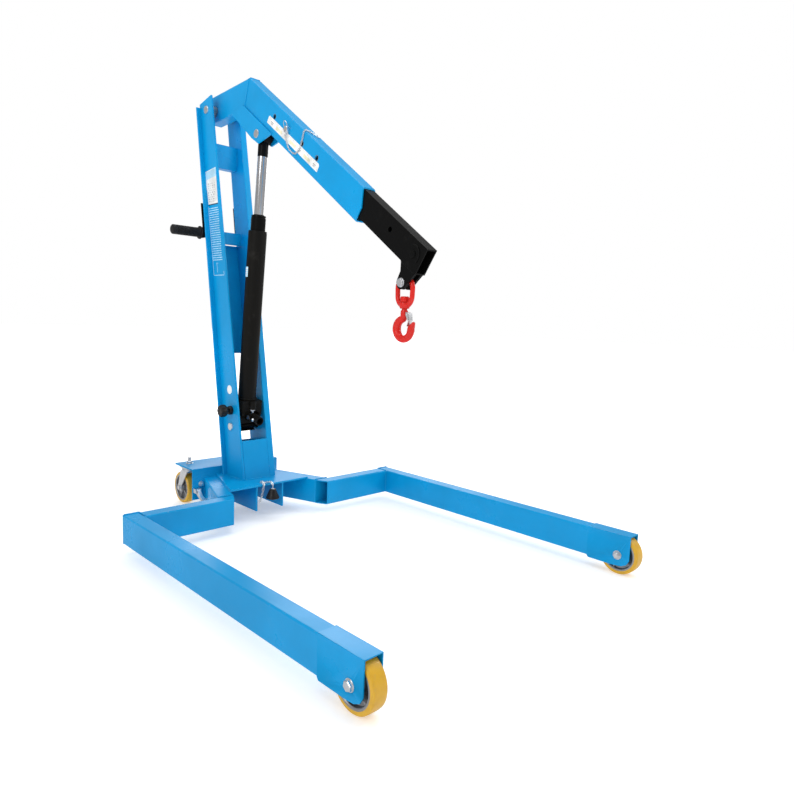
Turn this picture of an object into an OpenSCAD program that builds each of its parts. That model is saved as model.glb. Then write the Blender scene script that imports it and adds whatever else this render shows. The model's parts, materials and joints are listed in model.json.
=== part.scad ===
// Workshop crane on four wheels: parallel legs, leaning two-plate mast,
// cranked boom with a pinned telescopic extension, one hand-pumped ram
// and a swivel hook.
// +Z up, -Y towards the hook and the leg tips, -X the release-knob side.

/* [Chassis] */
// Outside width over both legs
chassis_w = 1127; // [1000:1:1300]
// Length of each leg, from the rear face of the cross arms
leg_l = 990; // [900:1:1200]
// Width of the leg tube
leg_w = 50; // [45:1:55]
// Height of the leg tube
leg_h = 93; // [85:1:95]
// Height of the leg's underside above the floor
leg_clear = 33.5; // [30:0.5:38]
// Wall of the leg tube
leg_wall = 4; // [3:0.5:5]
// Front-to-back depth of the cross arms
arm_d = 52; // [45:1:60]

/* [Wheels] */
// Wheel diameter, front and rear
wheel_d = 125; // [120:1:125]
// Width of a front wheel
front_wheel_w = 38; // [34:1:40]
// Width of a castor wheel
castor_wheel_w = 36; // [32:1:38]
// Castor trail
castor_trail = 34; // [30:1:34]

/* [Mast] */
// Gap between the two mast webs
mast_gap = 108; // [104:1:112]
// Thickness of the mast webs
web_t = 8; // [6:1:9]
// Height of the boom pivot above the floor
pivot_z = 1534.5; // [1500:0.5:1560]

/* [Boom] */
// Boom tube height
boom_h = 100; // [96:1:104]
// Boom tube width
boom_w = 50; // [50:1:54]
// Boom tube wall
boom_wall = 4; // [3:0.5:4]
// Fall of the front section below level
boom_drop = 35.6; // [33:0.1:38]
// Length of the front section along its top
boom_front_l = 788; // [760:1:800]
// Pitch of the index holes
index_pitch = 100; // [90:1:105]
// Extension tube height
ext_h = 80; // [76:1:82]
// Extension tube width
ext_w = 40; // [38:1:40]

/* [Ram] */
// Outside diameter of the ram cylinder
ram_d = 68; // [64:1:70]
// Bore of the ram cylinder
ram_bore = 56; // [52:1:58]
// Diameter of the chromed rod
rod_d = 35; // [32:1:36]

/* [Hidden] */

$fn = 48;
blue = [0.02, 0.45, 0.78];
black = [0.08, 0.08, 0.08];
zinc = [0.75, 0.76, 0.78];
amber = [0.85, 0.6, 0.12];
red = [0.86, 0.12, 0.08];
run_gap = 0.05;      // radial running clearance of a shaft in its bore
eps = 0.5;           // how far a cutter runs past the face it opens

// ---- chassis places, measured from the rear face of the cross arms ----
leg_x = chassis_w / 2 - leg_w / 2;
leg_top = leg_clear + leg_h;
leg_in = leg_x - leg_w / 2;
wheel_r = wheel_d / 2;
axle_y = -1092;
front_axle_r = 8;
housing_t = 3;
housing_under = 125.6;       // underside of the housing's top plate
housing_back = -leg_l;
housing_front = -1131;
housing_drop = 27;          // height of the housing's lower edge
cap_t = 3;
arm_in_rear = 178;          // where the arm's rear face ends
arm_in_front = 205;         // where the arm's front face ends
brace_rear_y = 280;
brace_w = 62;
brace_rear_out = 142;
rib_x = 53;
rib_t = 7;
plate_t = 7;
plate_top = leg_top + plate_t;
bridge_w = 380;
bridge_z = 158;
bridge_t = 6;
bridge_front = brace_rear_y;
bridge_rear = 425;
castor_x = 150;
castor_y = 385;             // swivel axis
castor_wheel_y = castor_y + castor_trail;
top_plate_t = 4;            // castor's own fixing plate
head_z = bridge_z - top_plate_t;
fork_t = 4;
fork_in = castor_wheel_w / 2 + 3;
fork_crown = 132;           // underside of the fork's crown
brake_x = 176;
brake_y = 266;
brake_z = 82;
stop_bolt_x = 156;

// The origin is under the middle of the crane's overall length.
frame_shift = -(axle_y - wheel_r + castor_wheel_y + wheel_r) / 2;

// ---- mast ----
mast_in = mast_gap / 2;
mast_out = mast_in + web_t;
flange_w = 18;
lip_gap = 0.05;             // joint line where the flange strip is welded on
foot_front = 123.8;
foot_rear = 251.3;
head_front = [380, 1583.5];
head_rear = [469, 1564.5];
function front_line(z) = foot_front + (head_front[0] - foot_front)
    * (z - plate_top) / (head_front[1] - plate_top);
function rear_line(z) = foot_rear + (head_rear[0] - foot_rear)
    * (z - plate_top) / (head_rear[1] - plate_top);
pivot_y = 414;
pivot_r = 12.5;
knob_y = 218;
knob_z = 391.5;
knob_stem_r = 8;

// ---- boom; s runs down the front section's top edge, n square to it ----
apex = [168.2, 1606.6];
rear_rise = 2.52;
rear_l = 285;
boom_bend = (boom_drop + rear_rise) / 2;
mitre = boom_h * tan(boom_bend);
function sn(s, n) = [
    apex[0] - s * cos(boom_drop) + n * sin(boom_drop),
    apex[1] - s * sin(boom_drop) - n * cos(boom_drop)];
function rear_pt(s, n) = [
    apex[0] + s * cos(rear_rise) - n * sin(rear_rise),
    apex[1] - s * sin(rear_rise) - n * cos(rear_rise)];
index_n = 40;
index_s = [for (i = [0:3]) 232 + i * index_pitch];
lock_r = 8;
lock_s = index_s[1];
ext_gap = 0.6;
ext_top = boom_wall + ext_gap;
ext_in = 290;
ext_out = 1120;
ext_wall = 4;
ext_hole_s = 960;
slot_reach = lock_s + index_pitch;   // where the pin ends with the tube pushed in
bracket_t = 6;
hanger_s = 1090;
hanger_n = 134;
hanger_bolt_r = 8;
cheek_gap = 9;
cheek_t = 9;
bolt_at = sn(hanger_s, hanger_n);

// ---- swivel hook, measured from the hanger bolt ----
bow_bar_r = 7.2;
bow_half = 30;
bow_top = bolt_at[1] + hanger_bolt_r + 0.3 + 2 * bow_bar_r;
bow_bottom = 790;
bow_boss_h = 18;
shank_r = 8;
bowl_r = 29;
bowl_bar_r = 11;
bowl_z = 732;
tip_lean = 30;
latch_y = bolt_at[0] - 17;
latch_z = 774;
latch_pin_r = 2;

// ---- ram; z runs up the ram from its base pin ----
ram_base = [220, 327.5];
ram_top = sn(170.5, 132.5);
ram_lean = atan((ram_base[0] - ram_top[0]) / (ram_top[1] - ram_base[1]));
ram_l = norm(ram_top - ram_base);
ram_pin_r = 12;
block_z = 49;
block_h = 57;
block_w = 84;
cyl_top = 743;
gland_h = 56;
gland_d = 54;
rod_show = 1005;            // where the rod enters its end fitting
piston_z = 480;
piston_h = 30;
eye_r = 30;
eye_w = 42;
socket_y = -56;
socket_z = 46;
socket_r = 16;
socket_bore = 12.5;
socket_l = 48;
socket_back = 4;
socket_tilt = 8;
socket_pin_r = 6;
tappet = [12, 8.2];          // from the socket's hinge to the nose that works the plunger
ear_in = 18;
ear_t = 6;
barrel_z = 74;              // underside of the small pump's barrel
plunger_y = -44;
plunger_r = 8;
plunger_foot = 60;

// ==== shared shapes ====
module placed() translate([0, frame_shift, 0]) children();

// flat outline in y and z, made solid from x0 over a thickness t
module side_plate(points, x0, t)
    translate([x0, 0, 0]) rotate([90, 0, 90]) linear_extrude(t) polygon(points);

module both_sides() { children(); mirror([1, 0, 0]) children(); }

// round bar along x
module x_rod(r, x0, x1, y, z)
    translate([x0, y, z]) rotate([0, 90, 0]) cylinder(r = r, h = x1 - x0);

module x_hex(r, x0, x1, y, z)
    translate([x0, y, z]) rotate([0, 90, 0]) cylinder(r = r, h = x1 - x0, $fn = 6);

// the ram's own frame: base pin at the origin, axis up z
module on_ram()
    translate([0, ram_base[0], ram_base[1]]) rotate([ram_lean, 0, 0]) children();

// ==== chassis ====
module leg() {
    difference() {
        translate([leg_in, -leg_l, leg_clear]) cube([leg_w, leg_l - cap_t, leg_h]);
        translate([leg_in + leg_wall, -leg_l - eps, leg_clear + leg_wall])
            cube([leg_w - 2 * leg_wall, leg_l - cap_t + 2 * eps, leg_h - 2 * leg_wall]);
    }
}

module leg_left() color(blue) placed() mirror([1, 0, 0]) leg();
module leg_right() color(blue) placed() leg();

module leg_end_caps() color(blue) placed() both_sides()
    translate([leg_in, -cap_t, leg_clear]) cube([leg_w, cap_t, leg_h]);

// folded channel welded flush to the leg end, covering the wheel
module wheel_housings() {
    top = housing_under + housing_t;
    outline = [
        [housing_back, top], [housing_back, leg_clear], [housing_back - 6, housing_drop],
        [-1070, housing_drop],
        [-1105, 30], [-1122, 38], [-1130, 52], [housing_front, top]];
    color(blue) placed() both_sides() difference() {
        side_plate(outline, leg_in, leg_w);
        translate([leg_in + housing_t, housing_front - eps, 0])
            cube([leg_w - 2 * housing_t, housing_back - housing_front + 2 * eps, housing_under]);
        x_rod(front_axle_r, leg_in - housing_t, leg_in + leg_w + housing_t, axle_y, wheel_r);
    }
}

module cross_arms() {
    outline = [[leg_in, 0], [arm_in_rear, 0], [arm_in_front, -arm_d], [leg_in, -arm_d]];
    hollow = [
        [leg_in + eps, -leg_wall], [arm_in_rear - leg_wall, -leg_wall],
        [arm_in_front - leg_wall, leg_wall - arm_d], [leg_in + eps, leg_wall - arm_d]];
    color(blue) placed() both_sides() difference() {
        translate([0, 0, leg_clear]) linear_extrude(leg_h) polygon(outline);
        translate([0, 0, leg_clear + leg_wall])
            linear_extrude(leg_h - 2 * leg_wall) polygon(hollow);
    }
}

module chassis_braces() {
    front_out = arm_in_rear + brace_w;
    rear_in = brace_rear_out - brace_w + 5;
    outline = [
        [arm_in_rear, 0], [front_out, 0],
        [brace_rear_out, brace_rear_y], [rear_in, brace_rear_y]];
    hollow = [
        [arm_in_rear + leg_wall, -eps], [front_out - leg_wall, -eps],
        [brace_rear_out - leg_wall, brace_rear_y + eps], [rear_in + leg_wall, brace_rear_y + eps]];
    color(blue) placed() both_sides() difference() {
        translate([0, 0, leg_clear]) linear_extrude(leg_h) polygon(outline);
        translate([0, 0, leg_clear + leg_wall])
            linear_extrude(leg_h - 2 * leg_wall) polygon(hollow);
    }
}

module chassis_ribs() color(blue) placed() both_sides()
    translate([rib_x, 40, leg_clear]) cube([rib_t, brace_rear_y - 40, leg_h]);

module foot_plate() color(blue) placed() translate([0, 0, leg_top])
    linear_extrude(plate_t) polygon([
        [-170, 34], [170, 34], [92, brace_rear_y], [-92, brace_rear_y]]);

// raised plate over the castors, with its upright front wall and two gussets
module castor_bridge() {
    wall_foot = 43;
    gusset_x = 60;
    gusset = [
        [bridge_front + bridge_t, 60], [bridge_front + bridge_t, bridge_z],
        [bridge_rear - 10, bridge_z], [bridge_rear - 10, bridge_z - 20]];
    color(blue) placed() {
        difference() {
            union() {
                translate([-bridge_w / 2, bridge_front, bridge_z])
                    cube([bridge_w, bridge_rear - bridge_front, bridge_t]);
                translate([-bridge_w / 2, bridge_front, wall_foot])
                    cube([bridge_w, bridge_t - 1, bridge_z - wall_foot]);
                both_sides() side_plate(gusset, gusset_x, bridge_t);
            }
            both_sides() kingpin_hole();
        }
    }
}

kingpin_r = 6;
module kingpin_hole() translate([castor_x, castor_y, fork_crown - eps])
    cylinder(r = kingpin_r + run_gap, h = bridge_z + bridge_t + 2 * eps - fork_crown);

module castor_plates() color(zinc) placed() both_sides() difference() {
    translate([castor_x, castor_y, head_z]) cylinder(r = 38, h = top_plate_t);
    kingpin_hole();
}

// head under the fork's crown, nut on top of the bridge
module castor_kingpins() color(zinc) placed() both_sides() translate([castor_x, castor_y, 0]) {
    translate([0, 0, fork_crown - 5.8]) cylinder(r = 10, h = 5.5, $fn = 6);
    translate([0, 0, fork_crown - 1]) cylinder(r = kingpin_r, h = 58);
    translate([0, 0, bridge_z + bridge_t]) cylinder(r = 11, h = 10, $fn = 6);
}

module front_axles() color(zinc) placed() both_sides() {
    in_face = leg_in;
    out_face = leg_in + leg_w;
    x_rod(front_axle_r, in_face - 12, out_face, axle_y, wheel_r);
    x_hex(12, out_face, out_face + 8, axle_y, wheel_r);
    x_hex(12, in_face - 9, in_face, axle_y, wheel_r);
}

// ==== mast ====
web_outline = [
    [foot_front, plate_top], [foot_rear, plate_top], head_rear, head_front];

module web_holes() {
    x_rod(pivot_r, -2 * mast_out, 2 * mast_out, pivot_y, pivot_z);
    x_rod(ram_pin_r, -2 * mast_out, 2 * mast_out, ram_base[0], ram_base[1]);
}

module mast_web_left() {
    lip = [
        [foot_rear, plate_top], [rear_line(head_rear[1] - 16), head_rear[1] - 16],
        [head_rear[0] - 9.5, head_rear[1] - 14.5], [foot_rear - 7.2, plate_top]];
    color(blue) placed() {
        difference() {
            side_plate(web_outline, -mast_out, web_t);
            web_holes();
            x_rod(knob_stem_r + run_gap, -2 * mast_out, 0, knob_y, knob_z);
        }
        side_plate(lip, -mast_out - flange_w, flange_w - lip_gap);
    }
}

module mast_web_right() {
    lip = [
        [foot_front, plate_top], [head_front[0], head_front[1]],
        [head_front[0] + 8, head_front[1] - 1.7], [foot_front + 8, plate_top]];
    color(blue) placed() {
        difference() {
            side_plate(web_outline, mast_in, web_t);
            web_holes();
        }
        side_plate(lip, mast_out + lip_gap, flange_w - lip_gap);
    }
}

// plates welded across between the two webs, from head to knee
module mast_cross_plates() color(blue) placed() {
    plate = 8;
    // upper channel and its turned lower edge
    translate([-mast_in, 384, 1321.5]) cube([mast_gap, plate, 90]);
    translate([-mast_in, 384 + plate, 1321.5]) cube([mast_gap, 30, plate]);
    // lower stay
    translate([-mast_in, 349, 1028.5]) cube([mast_gap, plate, 47]);
    // long rear plate
    side_plate([
        [rear_line(604) - 10, 604], [rear_line(604) - 3, 604],
        [rear_line(1028) - 3, 1028], [rear_line(1028) - 10, 1028]], -mast_in, mast_gap);
}

module mast_foot_plates() color(blue) placed() {
    side_plate([
        [foot_front, plate_top], [foot_front + 5, plate_top],
        [front_line(280) + 5, 280], [front_line(280), 280]], -mast_in, mast_gap);
    side_plate([
        [foot_rear - 10, plate_top], [foot_rear - 3, plate_top],
        [rear_line(262) - 3, 262], [rear_line(262) - 10, 262]], -mast_in, mast_gap);
}

module pivot_pin() color(zinc) placed() {
    x_rod(pivot_r, -mast_out - 3, mast_out + 6, pivot_y, pivot_z);
    x_rod(15, -mast_out - 5, -mast_out, pivot_y, pivot_z);
    x_rod(17, mast_out, mast_out + 3, pivot_y, pivot_z);
}

module pivot_spacers() color(zinc) placed() both_sides() difference() {
    x_rod(20, boom_w / 2 + 0.5, mast_in, pivot_y, pivot_z);
    x_rod(pivot_r, 0, mast_out, pivot_y, pivot_z);
}

module ram_base_pin() color(zinc) placed() {
    x_rod(ram_pin_r, -mast_out - 4, mast_out + 6, ram_base[0], ram_base[1]);
    x_rod(15, -mast_out - 6, -mast_out, ram_base[0], ram_base[1]);
    x_rod(16, mast_out, mast_out + 3, ram_base[0], ram_base[1]);
}

// ==== handle ====
handle_y = 420;
handle_z = 1070.5;
handle_r = 12;
strap_in = 55;
strap_w = 30;
strap_t = 6;
strap_low = 1050;
strap_top = 1182;
// straps up the rear edges of the mast, each with a lug for the bar
module handle_straps() color(black) placed() both_sides() difference() {
    union() {
        side_plate([
            [rear_line(strap_low), strap_low], [rear_line(strap_low) + strap_t, strap_low],
            [rear_line(strap_top) + strap_t, strap_top], [rear_line(strap_top), strap_top]],
            strap_in, strap_w);
        side_plate([
            [rear_line(strap_low) + 2, strap_low], [handle_y, strap_low],
            [handle_y + 18, handle_z], [handle_y, handle_z + 20],
            [rear_line(handle_z + 20) + 2, handle_z + 20]],
            strap_in + strap_w - 8, 8);
    }
    x_rod(handle_r, strap_in, strap_in + 2 * strap_w, handle_y, handle_z);
}

module handle_bar() color(black) placed()
    x_rod(handle_r, -200, 200, handle_y, handle_z);

module handle_grips() color(black) placed() both_sides() difference() {
    union() {
        x_rod(18.5, 90, 202, handle_y, handle_z);
        x_rod(25, 85, 90, handle_y, handle_z);
    }
    x_rod(handle_r, 80, 200, handle_y, handle_z);
}

// ==== brake levers, parking knob, release knob ====
brake_pin_r = 5;
brake_w = 14;
module brake_pivots() color(zinc) placed() both_sides() {
    x_rod(brake_pin_r, brake_x - 12, brake_x + 12, brake_y, brake_z);
    for (x = [brake_x - 12, brake_x + 9])
        translate([x, brake_y - 8, brake_z - 8]) cube([3, bridge_front - brake_y + 8, 16]);
    translate([stop_bolt_x, bridge_front, 104]) rotate([90, 0, 0]) {
        cylinder(r = 11, h = 3);
        cylinder(r = 9, h = 10, $fn = 6);
        cylinder(r = 5, h = 16);
    }
}

// foot lever, from its pin on the front wall forwards and down
module brake_pedal() difference() {
    side_plate([
        [brake_y - 7, brake_z + 8], [brake_y + 7, brake_z + 8], [brake_y + 8, brake_z - 7],
        [brake_y - 30, brake_z - 27], [brake_y - 42, brake_z - 33],
        [brake_y - 46, brake_z - 24], [brake_y - 28, brake_z - 14]],
        brake_x - brake_w / 2, brake_w);
    x_rod(brake_pin_r + run_gap, brake_x - 20, brake_x + 20, brake_y, brake_z);
}
module brake_pedal_left() color(zinc) placed() mirror([1, 0, 0]) brake_pedal();
module brake_pedal_right() color(zinc) placed() brake_pedal();

// cone-shaped pin knob parked on its chain at the foot plate's front edge;
// it swings from the last link, the eye on top
knob_at = [-12, 4, 84];
knob_h = 36;
eye_lift = 13;
module park_knob() color(black) placed() translate(knob_at) {
    cylinder(r1 = 25, r2 = 11, h = knob_h);
    difference() {
        union() {
            x_rod(5, -2, 2, 0, knob_h + eye_lift);
            translate([0, 0, knob_h - 1]) cylinder(r = 2, h = eye_lift);
        }
        x_rod(2.5, -4, 4, 0, knob_h + eye_lift);
    }
}

module release_knob() color(black) placed() {
    x_rod(knob_stem_r, -100, -mast_in - 1, knob_y, knob_z);
    x_rod(17, -mast_out - 14, -mast_out - 0.5, knob_y, knob_z);
    x_rod(24, -112, -86, knob_y, knob_z);
}

// ==== boom ====
module boom_rear() {
    outline = [apex, rear_pt(rear_l, 0), rear_pt(rear_l, boom_h), rear_pt(mitre, boom_h)];
    inside = [
        rear_pt(-mitre, boom_wall), rear_pt(rear_l - boom_wall, boom_wall),
        rear_pt(rear_l - boom_wall, boom_h - boom_wall), rear_pt(-mitre, boom_h - boom_wall)];
    color(blue) placed() difference() {
        side_plate(outline, -boom_w / 2, boom_w);
        side_plate(inside, boom_wall - boom_w / 2, boom_w - 2 * boom_wall);
        x_rod(pivot_r + run_gap, -boom_w, boom_w, pivot_y, pivot_z);
    }
}

module boom_front() {
    outline = [
        apex, sn(mitre, boom_h), sn(boom_front_l + 30, boom_h),
        sn(boom_front_l + 30, 53), sn(boom_front_l, 0)];
    inside = [
        sn(-mitre, boom_wall), sn(boom_front_l + 50, boom_wall),
        sn(boom_front_l + 50, boom_h - boom_wall), sn(-mitre, boom_h - boom_wall)];
    color(blue) placed() difference() {
        side_plate(outline, -boom_w / 2, boom_w);
        side_plate(inside, boom_wall - boom_w / 2, boom_w - 2 * boom_wall);
        for (s = index_s)
            x_rod(lock_r + run_gap, -boom_w, boom_w, sn(s, index_n)[0], sn(s, index_n)[1]);
    }
}

// two cheeks welded outside the boom, carrying the ram's top pin
module ram_bracket() color(blue) placed() both_sides() difference() {
    side_plate([sn(-30, 152), sn(24, 92), sn(255, 92), sn(197, 156), sn(150, 160)],
        boom_w / 2, bracket_t);
    x_rod(ram_pin_r, 0, boom_w, ram_top[0], ram_top[1]);
}

module ram_top_pin() color(zinc) placed() {
    face = boom_w / 2 + bracket_t;
    x_rod(ram_pin_r, -face - 2, face + 6, ram_top[0], ram_top[1]);
    x_rod(15, -face - 4, -face, ram_top[0], ram_top[1]);
    x_rod(16, face, face + 3, ram_top[0], ram_top[1]);
}

module lock_pin() {
    at = sn(lock_s, index_n);
    color(zinc) placed() {
        x_rod(lock_r, -boom_w / 2 - 6, boom_w / 2 + 12, at[0], at[1]);
        difference() {
            x_rod(11, -boom_w / 2 - 12, -boom_w / 2 - 0.5, at[0], at[1]);
            translate([-boom_w / 2 - 12, at[0], at[1]]) rotate([90, 0, 0])
                cylinder(r = 3, h = 40, center = true);
        }
    }
}

// ==== extension ====
module extension_tube() {
    low = ext_top + ext_h;
    outline = [sn(ext_in, ext_top), sn(ext_out, ext_top), sn(ext_out + 3, low), sn(ext_in, low)];
    inside = [
        sn(ext_in - 9, ext_top + ext_wall), sn(ext_out + 9, ext_top + ext_wall),
        sn(ext_out + 9, low - ext_wall), sn(ext_in - 9, low - ext_wall)];
    slot_half = lock_r + 0.4;
    slot = [
        sn(ext_in - 9, index_n - slot_half), sn(slot_reach + 1, index_n - slot_half),
        sn(slot_reach + 1, index_n + slot_half), sn(ext_in - 9, index_n + slot_half)];
    color(black) placed() difference() {
        side_plate(outline, -ext_w / 2, ext_w);
        side_plate(inside, ext_wall - ext_w / 2, ext_w - 2 * ext_wall);
        side_plate(slot, -ext_w, 2 * ext_w);
        x_rod(slot_half, -ext_w, ext_w, sn(slot_reach, index_n)[0], sn(slot_reach, index_n)[1]);
        x_rod(lock_r, -ext_w, ext_w, sn(ext_hole_s, index_n)[0], sn(ext_hole_s, index_n)[1]);
    }
}

module hanger_fork() {
    low = ext_top + ext_h;
    color(black) placed() both_sides() difference() {
        union() {
            side_plate([
                sn(1050, low), sn(1067, 110), sn(1071, 138), sn(1107, 146),
                sn(1112, 118), sn(ext_out, low)], cheek_gap, cheek_t);
            x_rod(19, cheek_gap, cheek_gap + cheek_t, bolt_at[0], bolt_at[1]);
        }
        x_rod(hanger_bolt_r, 0, boom_w, bolt_at[0], bolt_at[1]);
    }
}

module hanger_bolt() color(zinc) placed() {
    face = cheek_gap + cheek_t;
    x_rod(hanger_bolt_r, -face, face + 10, bolt_at[0], bolt_at[1]);
    x_hex(12.5, -face - 8, -face, bolt_at[0], bolt_at[1]);
    x_hex(12.5, face, face + 8, bolt_at[0], bolt_at[1]);
}

// ==== swivel hook ====
module hook_bow() {
    arc_top = bow_top - bow_half - bow_bar_r;
    arc_low = bow_bottom + bow_half + bow_bar_r;
    boss_top = bow_bottom + bow_boss_h;
    color(red) placed() translate([0, bolt_at[0], 0]) difference() {
        union() {
            translate([0, 0, arc_top]) rotate([0, -90, 0]) rotate([0, 0, 90])
                mirror([0, 1, 0]) rotate_extrude(angle = 180)
                    translate([bow_half, 0]) circle(r = bow_bar_r);
            for (y = [-bow_half, bow_half]) translate([0, y, arc_low])
                cylinder(r = bow_bar_r, h = arc_top - arc_low);
            translate([0, 0, arc_low]) rotate([0, -90, 0]) rotate([0, 0, 90])
                rotate_extrude(angle = 180) translate([bow_half, 0]) circle(r = bow_bar_r);
            intersection() {
                side_plate([for (a = [180:6:360]) [
                    (bow_half + bow_bar_r + 0.6) * cos(a), arc_low + (bow_half + bow_bar_r + 0.6) * sin(a)]],
                    -13, 26);
                translate([-13, -60, 0]) cube([26, 120, boss_top]);
            }
        }
        translate([0, 0, bow_bottom - 1]) cylinder(r = shank_r + run_gap, h = bow_boss_h + 2);
    }
}

module swivel_nut() color(red) placed() translate([0, bolt_at[0], bow_bottom + bow_boss_h + 0.4])
    difference() {
        cylinder(r = 12.8, h = 17);
        translate([0, 0, -1]) cylinder(r = shank_r, h = 20);
    }

module hook() {
    shank_foot = bowl_z + bowl_r;
    color(red) placed() translate([0, bolt_at[0], 0]) difference() {
        union() {
            translate([0, 0, shank_foot])
                cylinder(r = shank_r, h = bow_bottom + bow_boss_h + 16 - shank_foot);
            translate([0, 0, shank_foot]) sphere(r = bowl_bar_r + 1);
            translate([0, 0, shank_foot]) cylinder(r = bowl_bar_r, h = bow_bottom - 6 - shank_foot);
            // bowl: from the front, under, and up the back to the shank
            translate([0, 0, bowl_z]) rotate([90, 0, 90]) rotate([0, 0, 180])
                rotate_extrude(angle = 270) translate([bowl_r, 0]) circle(r = bowl_bar_r);
            // point, leaning outwards
            translate([0, -bowl_r, bowl_z]) {
                sphere(r = bowl_bar_r + 0.4);
                rotate([tip_lean, 0, 0]) {
                    cylinder(r1 = bowl_bar_r - 0.5, r2 = 5, h = 18);
                    translate([0, 0, 18]) sphere(r = 5.4);
                }
            }
            // lug for the latch pin
            translate([-5, -20, latch_z - 5]) cube([10, 14, 12]);
        }
        x_rod(latch_pin_r + 0.25, -20, 20, latch_y - bolt_at[0], latch_z);
    }
}

module hook_latch() color(zinc) placed() {
    x_rod(latch_pin_r, -9, 9, latch_y, latch_z);
    both_sides() side_plate([
        [latch_y + 5, latch_z + 6], [latch_y - 6, latch_z + 6], [latch_y - 10, latch_z - 18],
        [latch_y - 4.5, latch_z - 18], [latch_y + 1, latch_z - 9], [latch_y + 5, latch_z - 2]], 6, 2);
    side_plate([
        [latch_y - 9.3, latch_z - 14], [latch_y - 7.3, latch_z - 14],
        [latch_y - 0.5, latch_z - 34], [latch_y - 2.5, latch_z - 34.5]], -8, 16);
}

// ==== ram ====
module ram_cylinder() color(black) placed() on_ram() difference() {
    translate([0, 0, block_z + block_h]) cylinder(d = ram_d, h = cyl_top - block_z - block_h);
    translate([0, 0, block_z + block_h - eps]) cylinder(d = ram_bore, h = cyl_top);
}

module gland_collar() color(black) placed() on_ram() difference() {
    union() {
        translate([0, 0, cyl_top]) cylinder(d = gland_d, h = gland_h);
        translate([0, 0, cyl_top - 14]) cylinder(d = ram_bore, h = 14);
    }
    translate([0, 0, cyl_top - 40]) cylinder(r = rod_d / 2 + run_gap, h = gland_h + 60);
}

// saddle over the base pin, open below and in front
module base_lug() {
    half = 24;
    clear = 3;
    color(black) placed() on_ram() difference() {
        translate([-mast_in + 6, -half, -half]) cube([mast_gap - 12, 2 * half, block_z + half]);
        for (z = [-2.5, -8]) x_rod(ram_pin_r + clear, -mast_in, mast_in, 0, z);
        translate([-mast_in, -2 * half, -2 * half])
            cube([mast_gap, 2 * half + 2, 2 * half + ram_pin_r + 2]);
    }
}

module pump_block() color(black) placed() on_ram() difference() {
    union() {
        translate([-block_w / 2, -block_w / 2, block_z]) cube([block_w, block_w, block_h]);
        translate([0, plunger_y, barrel_z]) cylinder(r = 13, h = block_z + block_h - barrel_z);
        for (x = [-ear_in - ear_t, ear_in]) translate([x, socket_y - 10, socket_z - 12])
            cube([ear_t, 34, 30]);
    }
    x_rod(socket_pin_r + run_gap, -block_w, block_w, socket_y, socket_z);
    translate([0, plunger_y, block_z - 1]) cylinder(r = plunger_r + run_gap, h = block_h - 8);
    translate([-9.5, plunger_y - 16, block_z - 10]) cube([19, 27, 22]);    // room for the tappet
    translate([0, 0, block_z + block_h - 10]) cylinder(d = ram_bore, h = 20);
}

// tube that takes the pump lever, hinged under the pump
module lever_socket() color(black) placed() on_ram() translate([0, socket_y, socket_z]) difference() {
    union() {
        x_rod(socket_pin_r, -ear_in - ear_t, ear_in + ear_t, 0, 0);
        rotate([90 + socket_tilt, 0, 0]) translate([0, 0, socket_back])
            cylinder(r = socket_r, h = socket_l - 2 - socket_back);
        x_rod(5, -7, 7, tappet[0], tappet[1]);
        side_plate([[-2.8, 4.1], [9.4, 12], [14.6, 4.4], [2.8, -4.1]], -7, 14);
    }
    rotate([90 + socket_tilt, 0, 0]) translate([0, 0, 10]) cylinder(r = socket_bore, h = socket_l);
}

module pump_plunger() color(zinc) placed() on_ram()
    translate([0, plunger_y, plunger_foot]) cylinder(r = plunger_r, h = 34);

module ram_piston() color(zinc) placed() on_ram()
    translate([0, 0, piston_z]) cylinder(r = ram_bore / 2 - run_gap, h = piston_h);

module ram_rod() color(zinc) placed() on_ram()
    translate([0, 0, piston_z + piston_h]) cylinder(d = rod_d, h = rod_show - piston_z - piston_h);

module rod_end() color(black) placed() on_ram() difference() {
    union() {
        translate([0, 0, rod_show]) cylinder(r = rod_d / 2 + 1, h = ram_l - rod_show - 5);
        x_rod(eye_r, -eye_w / 2, eye_w / 2, 0, ram_l);
    }
    x_rod(ram_pin_r + run_gap, -eye_w, eye_w, 0, ram_l);
}

// ==== wheels ====
tread_t = 11;
module tyre(x, y, w) translate([x, y, wheel_r]) rotate([0, 90, 0]) rotate_extrude($fn = 96)
    polygon([
        [wheel_r - tread_t, -w / 2], [wheel_r - 3, -w / 2], [wheel_r, -w / 2 + 3],
        [wheel_r, w / 2 - 3], [wheel_r - 3, w / 2], [wheel_r - tread_t, w / 2]]);

module hub(x, y, w, bore) translate([x, y, wheel_r]) rotate([0, 90, 0]) rotate_extrude($fn = 96)
    polygon([
        [bore, -w / 2 - 1], [20, -w / 2 - 1], [20, -6], [wheel_r - tread_t - 6, -6],
        [wheel_r - tread_t - 6, -w / 2], [wheel_r - tread_t, -w / 2],
        [wheel_r - tread_t, w / 2], [wheel_r - tread_t - 6, w / 2],
        [wheel_r - tread_t - 6, 6], [20, 6], [20, w / 2 + 1], [bore, w / 2 + 1]]);

module front_tyre_left() color(amber) placed() tyre(-leg_x, axle_y, front_wheel_w);
module front_tyre_right() color(amber) placed() tyre(leg_x, axle_y, front_wheel_w);
module front_hub_left() color(zinc) placed() hub(-leg_x, axle_y, front_wheel_w, front_axle_r + run_gap);
module front_hub_right() color(zinc) placed() hub(leg_x, axle_y, front_wheel_w, front_axle_r + run_gap);

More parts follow.
